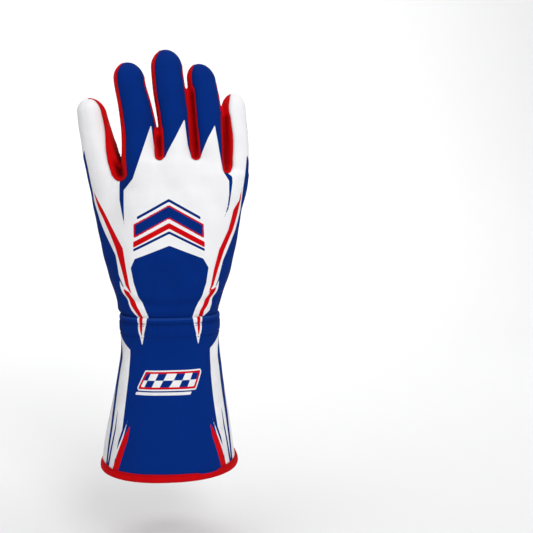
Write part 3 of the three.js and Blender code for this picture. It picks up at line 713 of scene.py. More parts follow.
def red_distance(points):
    """Distance to the red side walls of the fingers and to the strip down the hand's outer side."""
    owner = owners(points)
    x, y, z = points.T
    best = np.minimum.reduce([web_distance(points, web) for web in WEBS])
    for i, name in enumerate(NAMES):
        tube = TUBES[name]
        u, v, half_width, _ = tube.local(points)
        back_left, back_right, palm_left, palm_right = FINGERS[name]["walls"]
        rightness = smoothstep(u / half_width, -SIDE_CHANGE, SIDE_CHANGE)
        to_back = back_left + (back_right - back_left) * rightness
        to_palm = palm_left + (palm_right - palm_left) * rightness
        narrow_left, narrow_right, low, high = FINGERS[name]["narrow"]
        narrow = narrow_left + (narrow_right - narrow_left) * rightness
        to_back = to_back - narrow * smoothstep(z, tube.tip - low, tube.tip - high)
        if name != "thumb":
            tip = smoothstep(z, tube.tip - TIP_WRAP_REACH, tube.tip - 1)
            to_back = to_back - TIP_WRAP * (tip * smoothstep(u / half_width, -0.95, 0.0))
            to_palm = to_palm * (1 - TIP_NARROW * smoothstep(z, tube.tip - TIP_NARROW_REACH, tube.tip - 1))
        outer = np.where(v < 0, -v - to_back, v - to_palm)
        outer = np.where(to_back < 0, np.maximum(-v - to_back, v - to_palm), outer)
        left, right = LEFT_WEB.get(name), RIGHT_WEB.get(name)
        start_left = web_start(left) if left else tube.tip - FINGER_BREADTH * THUMB_STRIP_LENGTH
        start_right = web_start(right) if right else OUTER_STRIP[-1][0] * HAND_LENGTH - WALL
        if not left:
            grow = np.clip((z - start_left) / (tube.tip - start_left), 0, 1)
            height = GUSSET_HEIGHT * (THUMB_STRIP_SHARES[0] + THUMB_STRIP_SHARES[1] * grow)
            outer = np.where(u < 0, np.abs(v - THUMB_OUTER - 0.5 + height) - height, outer)
        start = np.where(u < 0, start_left, start_right)
        here = np.maximum(outer, start - z)
        best = np.where(owner == i, smooth_min(best, here, WEB_BLEND), best)
    hand_strip = np.maximum(np.abs(y - SIDE_LINE) - strip_height(z), z - OUTER_STRIP[-1][0] * HAND_LENGTH)
    hand_strip = np.maximum(hand_strip, STRIP_START - x)
    return np.where(owner >= 4, np.minimum(best, hand_strip), best)


def in_plane(rows):
    """Shares of PALM_BREADTH and HAND_LENGTH as millimetres of x and z."""
    return [(x * PALM_BREADTH, z * HAND_LENGTH) for x, z in rows]


BELOW, ASIDE = -50, 150  # z and x outside the hand, where an outline closes


def palm_distance(points):
    """Distance to the suede palm, negative on it."""
    thumb_seam, little_seam = in_plane(PALM_SEAM_THUMB), in_plane(PALM_SEAM_LITTLE)
    edge = in_plane(PALM_SEAM_THUMB_UPPER)
    web_level = WEBS[-1]["z"] * HAND_LENGTH
    index, level = TUBES["index"], thumb_seam[-1][1]
    beside = np.interp(level, index.z, index.x) - np.interp(level, index.z, index.half_width) - WALL
    outline = [
        (thumb_seam[0][0], BELOW), (little_seam[0][0], BELOW), *little_seam, (ASIDE, little_seam[-1][1]),
        (ASIDE, web_level), (beside, web_level), (beside, edge[-1][1]), *edge[::-1], *thumb_seam[::-1],
    ]
    best = np.maximum(polygon_distance(points[:, [0, 2]], outline), SIDE_LINE - points[:, 1])
    for name, tube in TUBES.items():
        u, v, half_width, _ = tube.local(points)
        start = edge[-1][1] - 1 if name == "thumb" else tube.bottom
        edge_line = np.where(u < 0, THUMB_OUTER, 0.0) if name == "thumb" else 0.0
        block = np.maximum(np.maximum(edge_line - v, np.abs(u) - half_width - WALL), start - points[:, 2])
        best = np.minimum(best, block)
    return best


def side_distance(points):
    """Distance to the white piece between the outer strip and the palm."""
    seam = in_plane(PALM_SEAM_LITTLE)
    outline = [(seam[0][0], BELOW), (ASIDE, BELOW), (ASIDE, seam[-1][1]), *seam[::-1]]
    return np.maximum(polygon_distance(points[:, [0, 2]], outline), SIDE_LINE - points[:, 1])


random = np.random.default_rng(7)


def random_wave():
    direction = unit(random.normal(size=(1, 3)))[0]
    return direction, random.uniform(0.6, 1.6), random.uniform(0, 2 * math.pi)


WAVES = [random_wave() for _ in range(14)]
WAVES_HIGHEST = 4  # about what the waves' sum reaches


def undulation(points, wavelength):
    """Soft uneven waves between about -1 and 1."""
    total = np.zeros(len(points))
    for direction, scale, phase in WAVES:
        total += np.sin(points @ direction * (2 * math.pi * scale / wavelength) + phase)
    return total / WAVES_HIGHEST


def chevron(apex, half_width, drop, thickness):
    """An outline like an inverted V."""
    low = apex - drop
    upper = [(-half_width, low), (CHEVRON_SHIFT, apex), (half_width, low)]
    return upper + [(x, z - thickness) for x, z in upper[::-1]]


# Where the print changes from the back's drawing to the palm side's: mm to the back of the thumb's middle or
# of SIDE_LINE, how much further to the back that lies higher up, and the z over which it moves
THUMB_TURN = (3, 9, 100, 128)
# The same for the hand's other side
HAND_TURN = (1, 13, 98, 129)
NEVER_TURN = -50  # the fingers have the back's drawing throughout
THUMB_SIDE = -20  # x beyond which the palm's surface turns as the thumb's does


def turned(depth, z, start, more, low, high):
    return depth + start + more * smoothstep(z, low, high)


def back_print(points):
    """Distances to the second colour and to the red on the back and side panels."""
    xz = points[:, [0, 2]]
    u, v, _, _ = TUBES["thumb"].local(points)
    owner = owners(points)
    thumb_side = (owner == 0) | ((owner == 5) & (points[:, 0] < THUMB_SIDE))
    thumb_turn = turned(v, points[:, 2], *THUMB_TURN)
    hand_turn = turned(points[:, 1] - SIDE_LINE, points[:, 2], *HAND_TURN)
    turn = np.where(thumb_side, thumb_turn, np.where(owner >= 4, hand_turn, NEVER_TURN))
    blue_chevrons = [chevron(*shape) for shape in BLUE_CHEVRONS]
    blue = shape_distance(xz, [*BLUE_BACK.values(), *blue_chevrons])
    red = shape_distance(xz, [*RED_BACK.values(), chevron(*RED_CHEVRON)])
    red = np.minimum(red, np.abs(polygon_distance(xz, blue_chevrons[1])) - CHEVRON_LINE)
    blue_palm = shape_distance(xz, BLUE_PALM_SIDE.values())
    red_palm = shape_distance(xz, RED_PALM_SIDE.values())
    blue = np.minimum(np.maximum(blue, turn), np.maximum(blue_palm, -turn))
    red = np.minimum(np.maximum(red, turn), np.maximum(red_palm, -turn))
    return {"ink": blue, "red": red}


def cuff_print(angle, z):
    """Distances to the second colour and to the red on the cuff."""
    arc = np.radians(np.abs(angle)) * CUFF_RADIUS
    spot = np.stack([arc, z], 1)
    signed = np.stack([np.radians(angle) * CUFF_RADIUS, z], 1)

    def shapes(outlines):
        on_arc = [[(math.radians(a) * CUFF_RADIUS, h) for a, h in outline] for outline in outlines.values()]
        return shape_distance(spot, on_arc)

    band = polygon_distance(signed, CUFF_BAND)
    across = (signed[:, 0] - BAND_SLANT * signed[:, 1]) * math.pi / CHECK_WIDTH
    up = (signed[:, 1] - CUFF_BAND[0][1]) * math.pi / CHECK_HEIGHT
    checks = -np.sin(across) * np.sin(up) * CHECK_HEIGHT / math.pi
    rule = polygon_distance(signed, CUFF_RULE)
    line = np.abs(band - BAND_WHITE_PLACE) - BAND_WHITE_LINE
    white = np.maximum(shapes(CUFF_WHITE), -shapes(CUFF_BLUE_OVER))
    white = np.minimum.reduce([white, np.maximum(band, checks), rule, line])
    return {"ink": white, "red": np.minimum(shapes(CUFF_RED), np.abs(band) - BAND_RED_LINE)}


# Materials

def srgb(r, g, b):
    """A screen colour as the linear one that a shader takes."""
    def linear(c):
        c /= 255
        return c / 12.92 if c <= 0.04045 else ((c + 0.055) / 1.055) ** 2.4
    return (linear(r), linear(g), linear(b), 1.0)


WHITE = srgb(240, 240, 242)
BLUE = srgb(4, 43, 122)
RED = srgb(206, 8, 16)
# The side walls' red, lighter than RED to make up for the shade the walls lie in between the fingers: painted
# light
WALL_RED = srgb(226, 8, 15)
BLACK = srgb(23, 23, 25)
THREAD = srgb(186, 186, 190)
# Dark navy cuff thread: partly the thread's own colour, partly painted shade for the sunk stitch rows
CUFF_THREAD = srgb(9, 30, 88)
# Painted highlight: the lighter blue of the line along the cuff's top edge, where the rolled edge would catch
# the light
PAINTED_RIM_HIGHLIGHT = srgb(70, 120, 200)
SHADE = (0.0, 0.0, 0.0, 1.0)
BACKDROP_GREY = (0.875, 0.875, 0.88, 1.0)


CLOTH_SPECULAR = 0.02
LOOP_LENGTH = 0.8  # of a knit loop's breadth
DRIFT = (0.0012, 0.0012, 0.0012)  # how far (m) noise moves the knit's rows, three ways
DRIFT_SCALE = 60.0


class Look:
    """A node material, built link by link. Lengths are metres."""

    def __init__(self, name, roughness, sheen=0.0, sheen_roughness=0.5):
        self.material = bpy.data.materials.new(name)
        self.material.use_nodes = True
        self.tree = self.material.node_tree
        self.shader = self.tree.nodes["Principled BSDF"]
        self.shader.inputs["Roughness"].default_value = roughness
        self.shader.inputs["Sheen Weight"].default_value = sheen
        self.shader.inputs["Sheen Roughness"].default_value = sheen_roughness
        self.shader.inputs["Specular IOR Level"].default_value = CLOTH_SPECULAR
        self.relief = None
        self.place = self.tree.nodes.new("ShaderNodeTexCoord").outputs["Object"]

    def node(self, kind, inputs=None, **settings):
        node = self.tree.nodes.new(kind)
        for key, value in settings.items():
            setattr(node, key, value)
        for key, value in (inputs or {}).items():
            if isinstance(value, bpy.types.NodeSocket):
                self.tree.links.new(value, node.inputs[key])
            else:
                node.inputs[key].default_value = value
        return node

    def math(self, operation, a, b=0.0):
        return self.node("ShaderNodeMath", {0: a, 1: b}, operation=operation).outputs[0]

    def mix(self, factor, a, b):
        """Two colours mixed; inputs 6 and 7 and output 2 are the node's colour sockets."""
        return self.node("ShaderNodeMix", {0: factor, 6: a, 7: b}, data_type="RGBA").outputs[2]

    def noise(self, size, detail=3.0, roughness=0.55):
        """Patches of about the size."""
        inputs = {"Vector": self.place, "Scale": 1 / size, "Detail": detail, "Roughness": roughness}
        return self.node("ShaderNodeTexNoise", inputs).outputs["Fac"]

    def span(self, value, low, high, out_low, out_high):
        """The value between low and high, as one between out_low and out_high."""
        inputs = {"Value": value, "From Min": low, "From Max": high, "To Min": out_low, "To Max": out_high}
        return self.node("ShaderNodeMapRange", inputs, clamp=True).outputs["Result"]

    def attribute(self, name):
        return self.node("ShaderNodeAttribute", attribute_name=name).outputs["Fac"]

    def color(self, value):
        self.tree.links.new(value, self.shader.inputs["Base Color"])

    def bump(self, height, distance):
        """Relief in metres, on top of what was there."""
        inputs = {"Height": height, "Distance": distance, "Strength": 1.0}
        if self.relief is not None:
            inputs["Normal"] = self.relief
        self.relief = self.node("ShaderNodeBump", inputs).outputs["Normal"]
        self.tree.links.new(self.relief, self.shader.inputs["Normal"])

    def knit(self, pitch, depth):
        """Fine rows of loops, a little uneven."""
        noise = {"Vector": self.place, "Scale": DRIFT_SCALE, "Detail": 2.0}
        drift = self.node("ShaderNodeTexNoise", noise).outputs["Color"]
        moved = self.node("ShaderNodeVectorMath", {0: drift, 1: DRIFT}, operation="MULTIPLY").outputs[0]
        where = self.node("ShaderNodeVectorMath", {0: self.place, 1: moved}, operation="ADD").outputs[0]
        x, y, z = self.node("ShaderNodeSeparateXYZ", {"Vector": where}).outputs
        across = self.math("SINE", self.math("MULTIPLY", self.math("ADD", x, y), 2 * math.pi / pitch))
        along = self.math("SINE", self.math("MULTIPLY", z, 2 * math.pi / (pitch * LOOP_LENGTH)))
        weave = self.math("MULTIPLY", across, along)
        self.bump(weave, depth)
        return weave


def varied(look, base, darker, size, low=0.3, high=0.7):
    """A base colour that wanders towards a darker one in soft patches."""
    patch = look.span(look.noise(size), low, high, 0.0, 1.0)
    return look.mix(patch, base, darker)


def shaded(color, factor):
    return (color[0] * factor, color[1] * factor, color[2] * factor, 1.0)


SEAM_SHADE_WIDTH = 1.1


def seam_shade(look, color, amount=0.4):
    """Painted shade: darkens a panel right at its sewn edge, where it turns in."""
    edge = look.span(look.attribute("seam"), 0.0, SEAM_SHADE_WIDTH, amount, 0.0)
    return look.mix(edge, color, SHADE)


def printed_look(name, base, ink):
    """Knit in a ground colour, with a second colour and red printed where their attributes are negative."""
    look = Look(name, roughness=0.75, sheen=0.01)
    weave = look.knit(pitch=0.00075, depth=0.00006)
    look.bump(look.noise(size=0.006, detail=2.0), distance=0.00025)
    ground = varied(look, base, shaded(base, 0.93), size=0.02)
    # Painted highlight: where the attribute rim is high, the ground lightens towards the rim highlight colour
    ground = look.mix(look.span(look.attribute("rim"), 0.0, 1.0, 0.0, 0.2), ground, PAINTED_RIM_HIGHLIGHT)
    second = varied(look, ink, shaded(ink, 0.85), size=0.018)
    red = varied(look, RED, shaded(RED, 0.88), size=0.015)
    first_mask = look.span(look.attribute("ink"), -PRINT_EDGE, PRINT_EDGE, 1.0, 0.0)
    red_mask = look.span(look.attribute("red"), -PRINT_EDGE, PRINT_EDGE, 1.0, 0.0)
    color = look.mix(red_mask, look.mix(first_mask, ground, second), red)
    # Painted shade: the knit's hollows are darkened a little
    color = look.mix(look.span(weave, -1.0, 1.0, 0.1, 0.0), color, SHADE)
    look.color(seam_shade(look, color))
    return look.material


CORE_SPAN = (0.15, 1.3)  # values of the attribute core over which painted shade darkens the red
CORE_SHADE = 0.95


def red_look(name, red):
    """Red knit, darkened almost to black by painted shade deep in the valleys between the fingers."""
    look = Look(name, roughness=0.7, sheen=0.01)
    weave = look.knit(pitch=0.0007, depth=0.00008)
    look.bump(look.noise(size=0.005, detail=2.0), distance=0.0002)
    color = varied(look, red, shaded(red, 0.82), size=0.012)
    # Painted shade: the knit's hollows are darkened a little
    color = look.mix(look.span(weave, -1.0, 1.0, 0.14, 0.0), color, SHADE)
    # Painted shade: where the attribute core is high, deep in the valleys between the fingers, the red turns
    # almost black
    core = look.span(look.attribute("core"), *CORE_SPAN, 0.0, CORE_SHADE)
    color = look.mix(core, color, shaded(red, 0.07))
    look.color(seam_shade(look, color, amount=0.3))
    return look.material


def suede_look(name, lift):
    """Black suede with a fine grain and brushed patches."""
    look = Look(name, roughness=0.9, sheen=0.04, sheen_roughness=0.5)
    look.bump(look.noise(size=0.0009, detail=4.0, roughness=0.7), distance=0.0002)
    look.bump(look.noise(size=0.005), distance=0.0004)
    brushed = look.span(look.noise(size=0.014, detail=4.0, roughness=0.65), 0.35, 0.7, 0.0, 1.0)
    color = look.mix(brushed, shaded(BLACK, lift), shaded(BLACK, lift * 1.5))
    grain = look.span(look.noise(size=0.0008, roughness=0.7), 0.3, 0.7, 0.0, 0.45)
    color = look.mix(grain, color, shaded(BLACK, lift * 0.4))
    look.color(seam_shade(look, color, amount=0.5))
    return look.material


def thread_look(name, color):
    look = Look(name, roughness=0.55)
    look.bump(look.noise(size=0.0004, detail=2.0), distance=0.00008)
    look.color(varied(look, color, shaded(color, 0.75), size=0.004))
    return look.material


def plain_look(name, color, roughness):
    look = Look(name, roughness=roughness)
    look.color(varied(look, color, shaded(color, 0.985), size=0.5))
    return look.material


# Pieces

def placed(name, data):
    thing = bpy.data.objects.new(name, data)
    bpy.context.collection.objects.link(thing)
    return thing


def add_piece(name, points, faces, look, replaces, attributes=None):
    """A mesh from millimetres; look is a material and its slot (the slot is not used), replaces the solids
    that it stands for.
    """
    material, slot = look
    mesh = bpy.data.meshes.new(name)
    mesh.from_pydata((points * MM).tolist(), [], faces.tolist())
    for key, values in (attributes or {}).items():
        layer = mesh.attributes.new(key, "FLOAT", "POINT")
        layer.data.foreach_set("value", np.asarray(values, np.float32))
    mesh.shade_smooth()
    mesh.materials.append(material)
    piece = placed(name, mesh)
    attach(piece, "root")
    if replaces:
        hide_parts(*replaces)
    return piece


SEAM_DEPTH = 0.42
SEAM_WIDTH = 1.3
PUFF_WIDTH = 6


def add_panel(name, points, faces, seam_of, look, puff, relief, paint=None):
    """A sewn wall: it turns in at its seams, swells by puff between them and has the relief on top."""
    points, faces = compact(points, faces)
    normals = unit(gradient(hand_field, points))
    seam = np.abs(seam_of(points))
    lift = puff * (1 - bell(seam, 0, PUFF_WIDTH)) - SEAM_DEPTH * bell(seam, 0, SEAM_WIDTH) + relief(points)
    attributes = {"seam": np.tile(seam, 2)}
    for key, values in (paint(points) if paint else {}).items():
        attributes[key] = np.tile(values, 2)
    wall, wall_faces = shell(points + normals * lift[:, None], points - normals * WALL, faces)
    add_piece(name, wall, wall_faces, look, [name], attributes)


# The fold across the back above the wrist seam: place and width of a crease and of the swells beside it
CREASE = (10.5, 2.2)
UPPER_SWELL = (15.5, 3.2)
LOWER_SWELL = (6, 2.2)
LOWER_SWELL_SHARE = 0.6
CREASE_DEPTH = 1.0
SWELL_HEIGHT = 0.55
FOLD_RISE = 5  # how much higher the fold runs FOLD_REACH from the middle
FOLD_REACH = 35
FOLD_FADE = (-16, -2)  # y over which it ends
CLOTH_WAVES = (0.22, 24)  # height and length
SUEDE_WAVES = (0.3, 17)


def waves(points, size):
    height, length = size
    return height * undulation(points, length)


def cloth_relief(points):
    """Soft waves, and a crease between two swells across the back above the wrist seam."""
    x, y, z = points.T
    height = z - FOLD_RISE * (x / FOLD_REACH) ** 2
    swell = bell(height, *UPPER_SWELL) + LOWER_SWELL_SHARE * bell(height, *LOWER_SWELL)
    fold = SWELL_HEIGHT * swell - CREASE_DEPTH * bell(height, *CREASE)
    return waves(points, CLOTH_WAVES) + (1 - smoothstep(y, *FOLD_FADE)) * fold


def suede_relief(points):
    return waves(points, SUEDE_WAVES)


RIM_HEIGHT = 0.55
RIM_PLACE = (0.7, 0.7)  # from the seam, and its width
RIM_START = 95  # z above which the red walls have a rim
VALLEY_DEPTH = 1.1


def wall_relief(points):
    """A rounded rim along the seams of the red pieces, and a valley where two fingers part."""
    rim = RIM_HEIGHT * bell(np.abs(red_distance(points)), *RIM_PLACE) * (points[:, 2] > RIM_START)
    return rim - VALLEY_DEPTH * web_core(points)


THUMB_VALLEY = 1.3  # how much deeper the shade is beside the thumb than between two fingers
THUMB_VALLEY_POWER = 1.6
THUMB_SHADE_TURN = (-4.5, 2.5)  # where on the thumb's side, from the back to the palm, the shade begins
THUMB_SHADE_TOP = (10, 44)  # where it ends above the web


def thumb_shade(points):
    """1 low on the thumb's wall, on the side that turns away into the valley beside the index finger."""
    u, v, _, _ = TUBES["thumb"].local(points)
    low = web_start(WEBS[0])
    below = 1 - smoothstep(points[:, 2], low + THUMB_SHADE_TOP[0], low + THUMB_SHADE_TOP[1])
    return np.where((owners(points) == 0) & (u > 0), smoothstep(v, *THUMB_SHADE_TURN) * below, 0)


# Painted shade for the red walls: core is high deep in the valleys between the fingers and low on the thumb's
# side that turns towards the index finger
def wall_paint(points):
    thumb_valley = np.maximum(web_core(points, WEBS[:1]), thumb_shade(points))
    return {"core": np.maximum(web_core(points), THUMB_VALLEY * thumb_valley**THUMB_VALLEY_POWER)}


def outer_seams(points):
    return np.minimum(np.abs(red_distance(points)), np.abs(palm_distance(points)))


def side_seams(points):
    return np.minimum(outer_seams(points), np.abs(side_distance(points)))


BACK_PUFF = 0.35
SIDE_PUFF = 0.2
PALM_PUFF = 0.3


def build_hand(looks):
    """The hand's surface, cut along its seams. Returns the palm's part, for the pads."""
    points, faces = surface_mesh((-70, -32, -LAP_LENGTH - 3), (66, 32, HAND_LENGTH + 3), GRID_PITCH)
    points, faces, below = cut(points, faces, points[:, 2] + LAP_LENGTH)
    faces = faces[~below]
    points, faces = compact(points, faces)
    points, faces, is_red = cut(points, faces, red_distance(points))
    red_faces, rest = faces[is_red], faces[~is_red]
    base, rest, is_palm = cut(points, rest, palm_distance(points))
    palm_faces, rest = rest[is_palm], rest[~is_palm]
    split, rest, is_side = cut(base, rest, side_distance(base))
    for name, part, puff in (("back_panel", ~is_side, BACK_PUFF), ("side_panel", is_side, SIDE_PUFF)):
        add_panel(name, split, rest[part], side_seams, looks["white"], puff, cloth_relief, back_print)
    add_panel("palm_panel", base, palm_faces, outer_seams, looks["suede"], PALM_PUFF, suede_relief)
    build_gussets(points, red_faces, looks)
    return base, palm_faces


OFF_FINGERS = 50.0
STRIP_TOP = -3  # where the outer strip ends on the palm's side, from the little finger's web


def build_gussets(points, faces, looks):
    """The red pieces, told apart by finger and by the side of its middle line."""
    points, faces = compact(points, faces)

    def across(at):
        owner = owners(at)
        value = np.full(len(at), OFF_FINGERS)
        for i, tube in enumerate(TUBES.values()):
            value = np.where(owner == i, tube.local(at)[0], value)
        return value

    points, faces, _ = cut(points, faces, across(points))
    centres = points[faces].mean(1)
    owner = owners(centres)
    u = across(centres)
    piece = np.full(len(faces), -1)
    for i in range(len(NAMES)):
        piece = np.where((owner == i) & (u < 0), i - 1, np.where((owner == i) & (u >= 0), i, piece))
    piece = np.where((owner == 0) & (u < 0), 5, piece)
    on_palm = owner == 5
    web_x = np.array([web["x"] * PALM_BREADTH for web in WEBS])
    nearest_web = np.argmin(np.abs(centres[:, 0][:, None] - web_x[None]), axis=1)
    distance = np.stack([web_distance(centres, web) for web in WEBS])
    in_web = distance.min(0) < 0
    piece = np.where(in_web, distance.argmin(0), piece)
    beside_palm = np.where(centres[:, 2] < WEBS[-1]["z"] * HAND_LENGTH + STRIP_TOP, 4, nearest_web)
    piece = np.where(on_palm & ~in_web, beside_palm, piece)
    names = ["gusset_" + "_".join(web["between"]) for web in WEBS] + ["outer_strip", "thumb_strip"]
    for i, name in enumerate(names):
        add_panel(name, points, faces[piece == i], red_distance, looks["red"], 0.0, wall_relief, wall_paint)


PAD_MARGIN = 1.3
PAD_REACH = 2.5  # how far beyond a pad the palm's surface is made finer
# The pads, each with a fill value
PAD_FILLS = {
    "knuckle_pad": 0.7, "thenar_pad": 0.7, "hypothenar_pad": 0.75,
    "thumb_tip_pad": 0.6, "thumb_base_pad": 0.6,
}
PAD_EDGE_SHARE = 0.25  # of the thickness, at the pad's very edge
PAD_EDGE_ROUND = 0.8
PAD_CHANNEL = (2.5, 0.8)  # place from the edge, and width
PAD_CHANNEL_DEPTH = 0.45
PAD_WAVES = (0.15, 15)
PAD_UNDERSIDE = 0.1


def pad_outline(name):
    if name in PADS:
        return in_plane(PADS[name])
    return [(x * FINGER_BREADTH, z * HAND_LENGTH) for x, z in THUMB_PADS[name]]


def pad_plane(name, points):
    """Points laid flat as the pad's outline is drawn, and how far each lies towards the palm."""
    if name in PADS:
        return points[:, [0, 2]], points[:, 1]
    u, v, _, _ = TUBES["thumb"].local(points)
    return np.stack([u, points[:, 2]], 1), v


def pad_surface(name, base, palm_faces):
    """The palm's surface under a pad, made finer, with the distance to the pad's edge."""
    outline = pad_outline(name)

    def distance(points):
        flat, depth = pad_plane(name, points)
        edge = np.maximum(polygon_distance(flat, outline) - PAD_MARGIN, 1 - depth)
        return np.maximum(edge, WALL - points[:, 2])

    near = (distance(base)[palm_faces] < PAD_REACH).any(1)
    points, faces = compact(base, palm_faces[near])
    points, faces = subdivided(points, faces)
    points = onto_surface(points, 1)
    points, faces, inside = cut(points, faces, distance(points))
    points, faces = compact(points, faces[inside])
    return points, faces, -distance(points)


def build_pads(base, palm_faces, looks):
    """The padded patches. Returns each one's top, with the normals, for the stitching."""
    surfaces = {}
    for name, fill in PAD_FILLS.items():
        points, faces, depth = pad_surface(name, base, palm_faces)
        normals = unit(gradient(hand_field, points))
        swell = PAD_EDGE_SHARE + (1 - PAD_EDGE_SHARE) * (1 - np.exp(-depth / PAD_EDGE_ROUND))
        channel = PAD_CHANNEL_DEPTH * bell(depth, *PAD_CHANNEL)
        height = SEAM_GAP + PAD_THICKNESS * swell - channel + waves(points, PAD_WAVES)
        outer = points + normals * height[:, None]
        solid, solid_faces = shell(outer, points + normals * PAD_UNDERSIDE, faces)
        pad = add_piece(name, solid, solid_faces, looks["pad"], [name], {"seam": np.tile(depth, 2)})
        surfaces[name] = (outer, normals)
    return surfaces


# The cuff and its binding

def cuff_section(z):
    flare = table_column(CUFF_ROWS, -z / CUFF_LENGTH)
    lap = SEAM_GAP + WALL
    half_width = (WRIST_BREADTH / 2 + lap) * (1 - flare) + HEM_BREADTH / 2 * flare
    half_depth = (WRIST_DEPTH / 2 + lap) * (1 - flare) + HEM_DEPTH / 2 * flare
    return flare * HEM_SHIFT, half_width, half_depth


def cuff_points(angle, z, offset):
    """A point of the cuff: angle from the middle of the back towards +X, grown by offset."""
    x, half_width, half_depth = cuff_section(z)
    across, depth = np.sin(angle), -np.cos(angle)
    power = 2 / SECTION_POWER
    px = np.sign(across) * np.abs(across) ** power * (half_width + offset)
    py = np.sign(depth) * np.abs(depth) ** power * (half_depth + offset)
    return np.stack([x + px, py, z], -1)


def swept_hoop(angles, profile):
    """A closed hoop through a profile of (z, offset) columns, each an array over the angles."""
    rings = np.stack([cuff_points(angles, z, offset) for z, offset in profile])
    count, sides = rings.shape[:2]
    r, i = np.meshgrid(np.arange(count), np.arange(sides), indexing="ij")
    a = (r * sides + i).ravel()
    b = (r * sides + (i + 1) % sides).ravel()
    c = ((r + 1) % count * sides + i).ravel()
    d = ((r + 1) % count * sides + (i + 1) % sides).ravel()
    faces = np.concatenate([np.stack([a, b, d], 1), np.stack([a, d, c], 1)])
    return rings.reshape(-1, 3), faces


CUFF_SIDES = 400
CUFF_STEPS = 120
CUFF_ANGLES = np.linspace(-math.pi, math.pi, CUFF_SIDES, endpoint=False)
WRIST_STITCHES = (-3.4, -4.9)
BAND_STITCHES = -13.6
GATHER_HEIGHT = 0.16
GATHERS_ROUND = 64
GATHER_DRIFT = (1.5, 5)  # how far the gathers wander, and how often round the cuff
GATHER_PLACE = (-7, 7)
BAND_HEIGHT = 0.3
BAND_EDGE = (-12.5, -11.2)
DIP_WIDTH = 1.0
WRIST_DIP = 0.45
BAND_DIP = 0.3
BAND_DIP_PLACE = -12.2
FOLD_WAVES = (0.5, 34)
FOLD_STRETCH = [1, 1, 0.45]  # makes the folds longer down the cuff than round it
FOLDS_START = (14, 45)  # how far below the wrist they begin and are at full height


def cuff_relief(angle, z):
    """Gathers and sunk stitches on the raised elastic band under the wrist seam, and soft folds below."""
    drift = GATHER_DRIFT[0] * np.sin(GATHER_DRIFT[1] * angle)
    gathers = GATHER_HEIGHT * np.cos(GATHERS_ROUND * angle + drift) * bell(z, *GATHER_PLACE)
    band = BAND_HEIGHT * smoothstep(z, *BAND_EDGE)
    dip = -WRIST_DIP * bell(z, WRIST_STITCHES[0], DIP_WIDTH) - BAND_DIP * bell(z, BAND_DIP_PLACE, DIP_WIDTH)
    folds = waves(cuff_points(angle, z, 0) * FOLD_STRETCH, FOLD_WAVES) * smoothstep(-z, *FOLDS_START)
    return gathers + band + dip + folds


HEM_COVER = 1.6  # how much of the hem's end the binding takes up
INSIDE_STEP = 4  # the cuff's inside has one ring for so many outside
RIM_TURN = (0.5, 0.8)  # how far the top edge turns in, and over what height
RIM_HIGHLIGHT_LINE = (0.6, 0.55)  # the painted highlight line below the top edge, and its width
HEM_SHADE = 4.4  # the painted shade line above the hem


def build_cuff(looks):
    top, hem = WALL / 2, -CUFF_LENGTH + HEM_COVER
    outside = []
    for z in np.linspace(hem, top, CUFF_STEPS):
        level = np.full(CUFF_SIDES, z)
        outside.append((level, cuff_relief(CUFF_ANGLES, level) - RIM_TURN[0] * bell(z, top, RIM_TURN[1])))
    inside = [(level, offset - WALL) for level, offset in outside[::-INSIDE_STEP]]
    profile = outside + inside
    points, faces = swept_hoop(CUFF_ANGLES, profile)
    z = points[:, 2]
    attributes = cuff_print(np.tile(np.degrees(CUFF_ANGLES), len(profile)), z)
    # Painted highlight: the attribute rim lightens a thin line just below the cuff's top edge
    attributes["rim"] = bell(z, top - RIM_HIGHLIGHT_LINE[0], RIM_HIGHLIGHT_LINE[1])
    # The attribute seam puts painted shade along the sunk upper stitch row and in a line above the hem
    attributes["seam"] = np.minimum(np.abs(z - WRIST_STITCHES[0]), np.abs(z - hem - HEM_SHADE))
    add_piece("cuff", points, faces, looks["blue"], ["cuff"], attributes)


# The binding's profile: height from its top edge or from the hem, and how far out of the cuff's line it lies
BINDING_FROM_TOP = [(0, 0.05), (-0.5, 0.7), (-1.3, 0.75), (-2.2, 1.25), (-3.4, 1.6)]
BINDING_ROUND_HEM = [(1.5, 1.55), (0.6, 1.05), (0.15, 0.2), (0, -0.9), (0.1, -2.0), (0.6, -3.0), (1.6, -3.6)]
BINDING_INSIDE = [(-3.2, -3.6), (-1, -3.2), (0, -2.5)]
BINDING_TUCKS = 0.12
TUCKS_ROUND = 90
BINDING_WAVES = (0.15, 12)
TUCK_SHARES = (0.3, 0.1)  # how much of them shows where the binding stands proud, and elsewhere
BINDING_SEAM = 0.9  # below its top edge


def build_binding(looks):
    low, high = -CUFF_LENGTH, -CUFF_LENGTH + BINDING_HEIGHT
    hem_line = cuff_points(CUFF_ANGLES, np.full(CUFF_SIDES, low), 0)
    pull = BINDING_TUCKS * np.cos(TUCKS_ROUND * CUFF_ANGLES) + waves(hem_line, BINDING_WAVES)
    stations = [(high + z, offset) for z, offset in BINDING_FROM_TOP]
    stations += [(low + z, offset) for z, offset in BINDING_ROUND_HEM]
    stations += [(high + z, offset) for z, offset in BINDING_INSIDE]
    profile = []
    for z, offset in stations:
        share = TUCK_SHARES[0] if offset > 1 else TUCK_SHARES[1]
        profile.append((np.full(CUFF_SIDES, z), offset + pull * share))
    points, faces = swept_hoop(CUFF_ANGLES, profile[::-1])
    seam = np.abs(points[:, 2] - (high - BINDING_SEAM)) + 0.2
    add_piece("hem_binding", points, faces, looks["binding"], ["hem_binding"], {"seam": seam})


# Stitching

STITCH_PITCH = 2.2
# Length, width and height of a stitch
PAD_STITCH = (1.6, 0.5, 0.45)
CUFF_STITCH = (1.5, 0.42, 0.36)
CUFF_STITCHES = 104
PAD_ROWS = (0.1, 2.5)  # from the pad's edge
THREAD_LIFT = (0.12, 0.1)  # above the pad and above the cuff
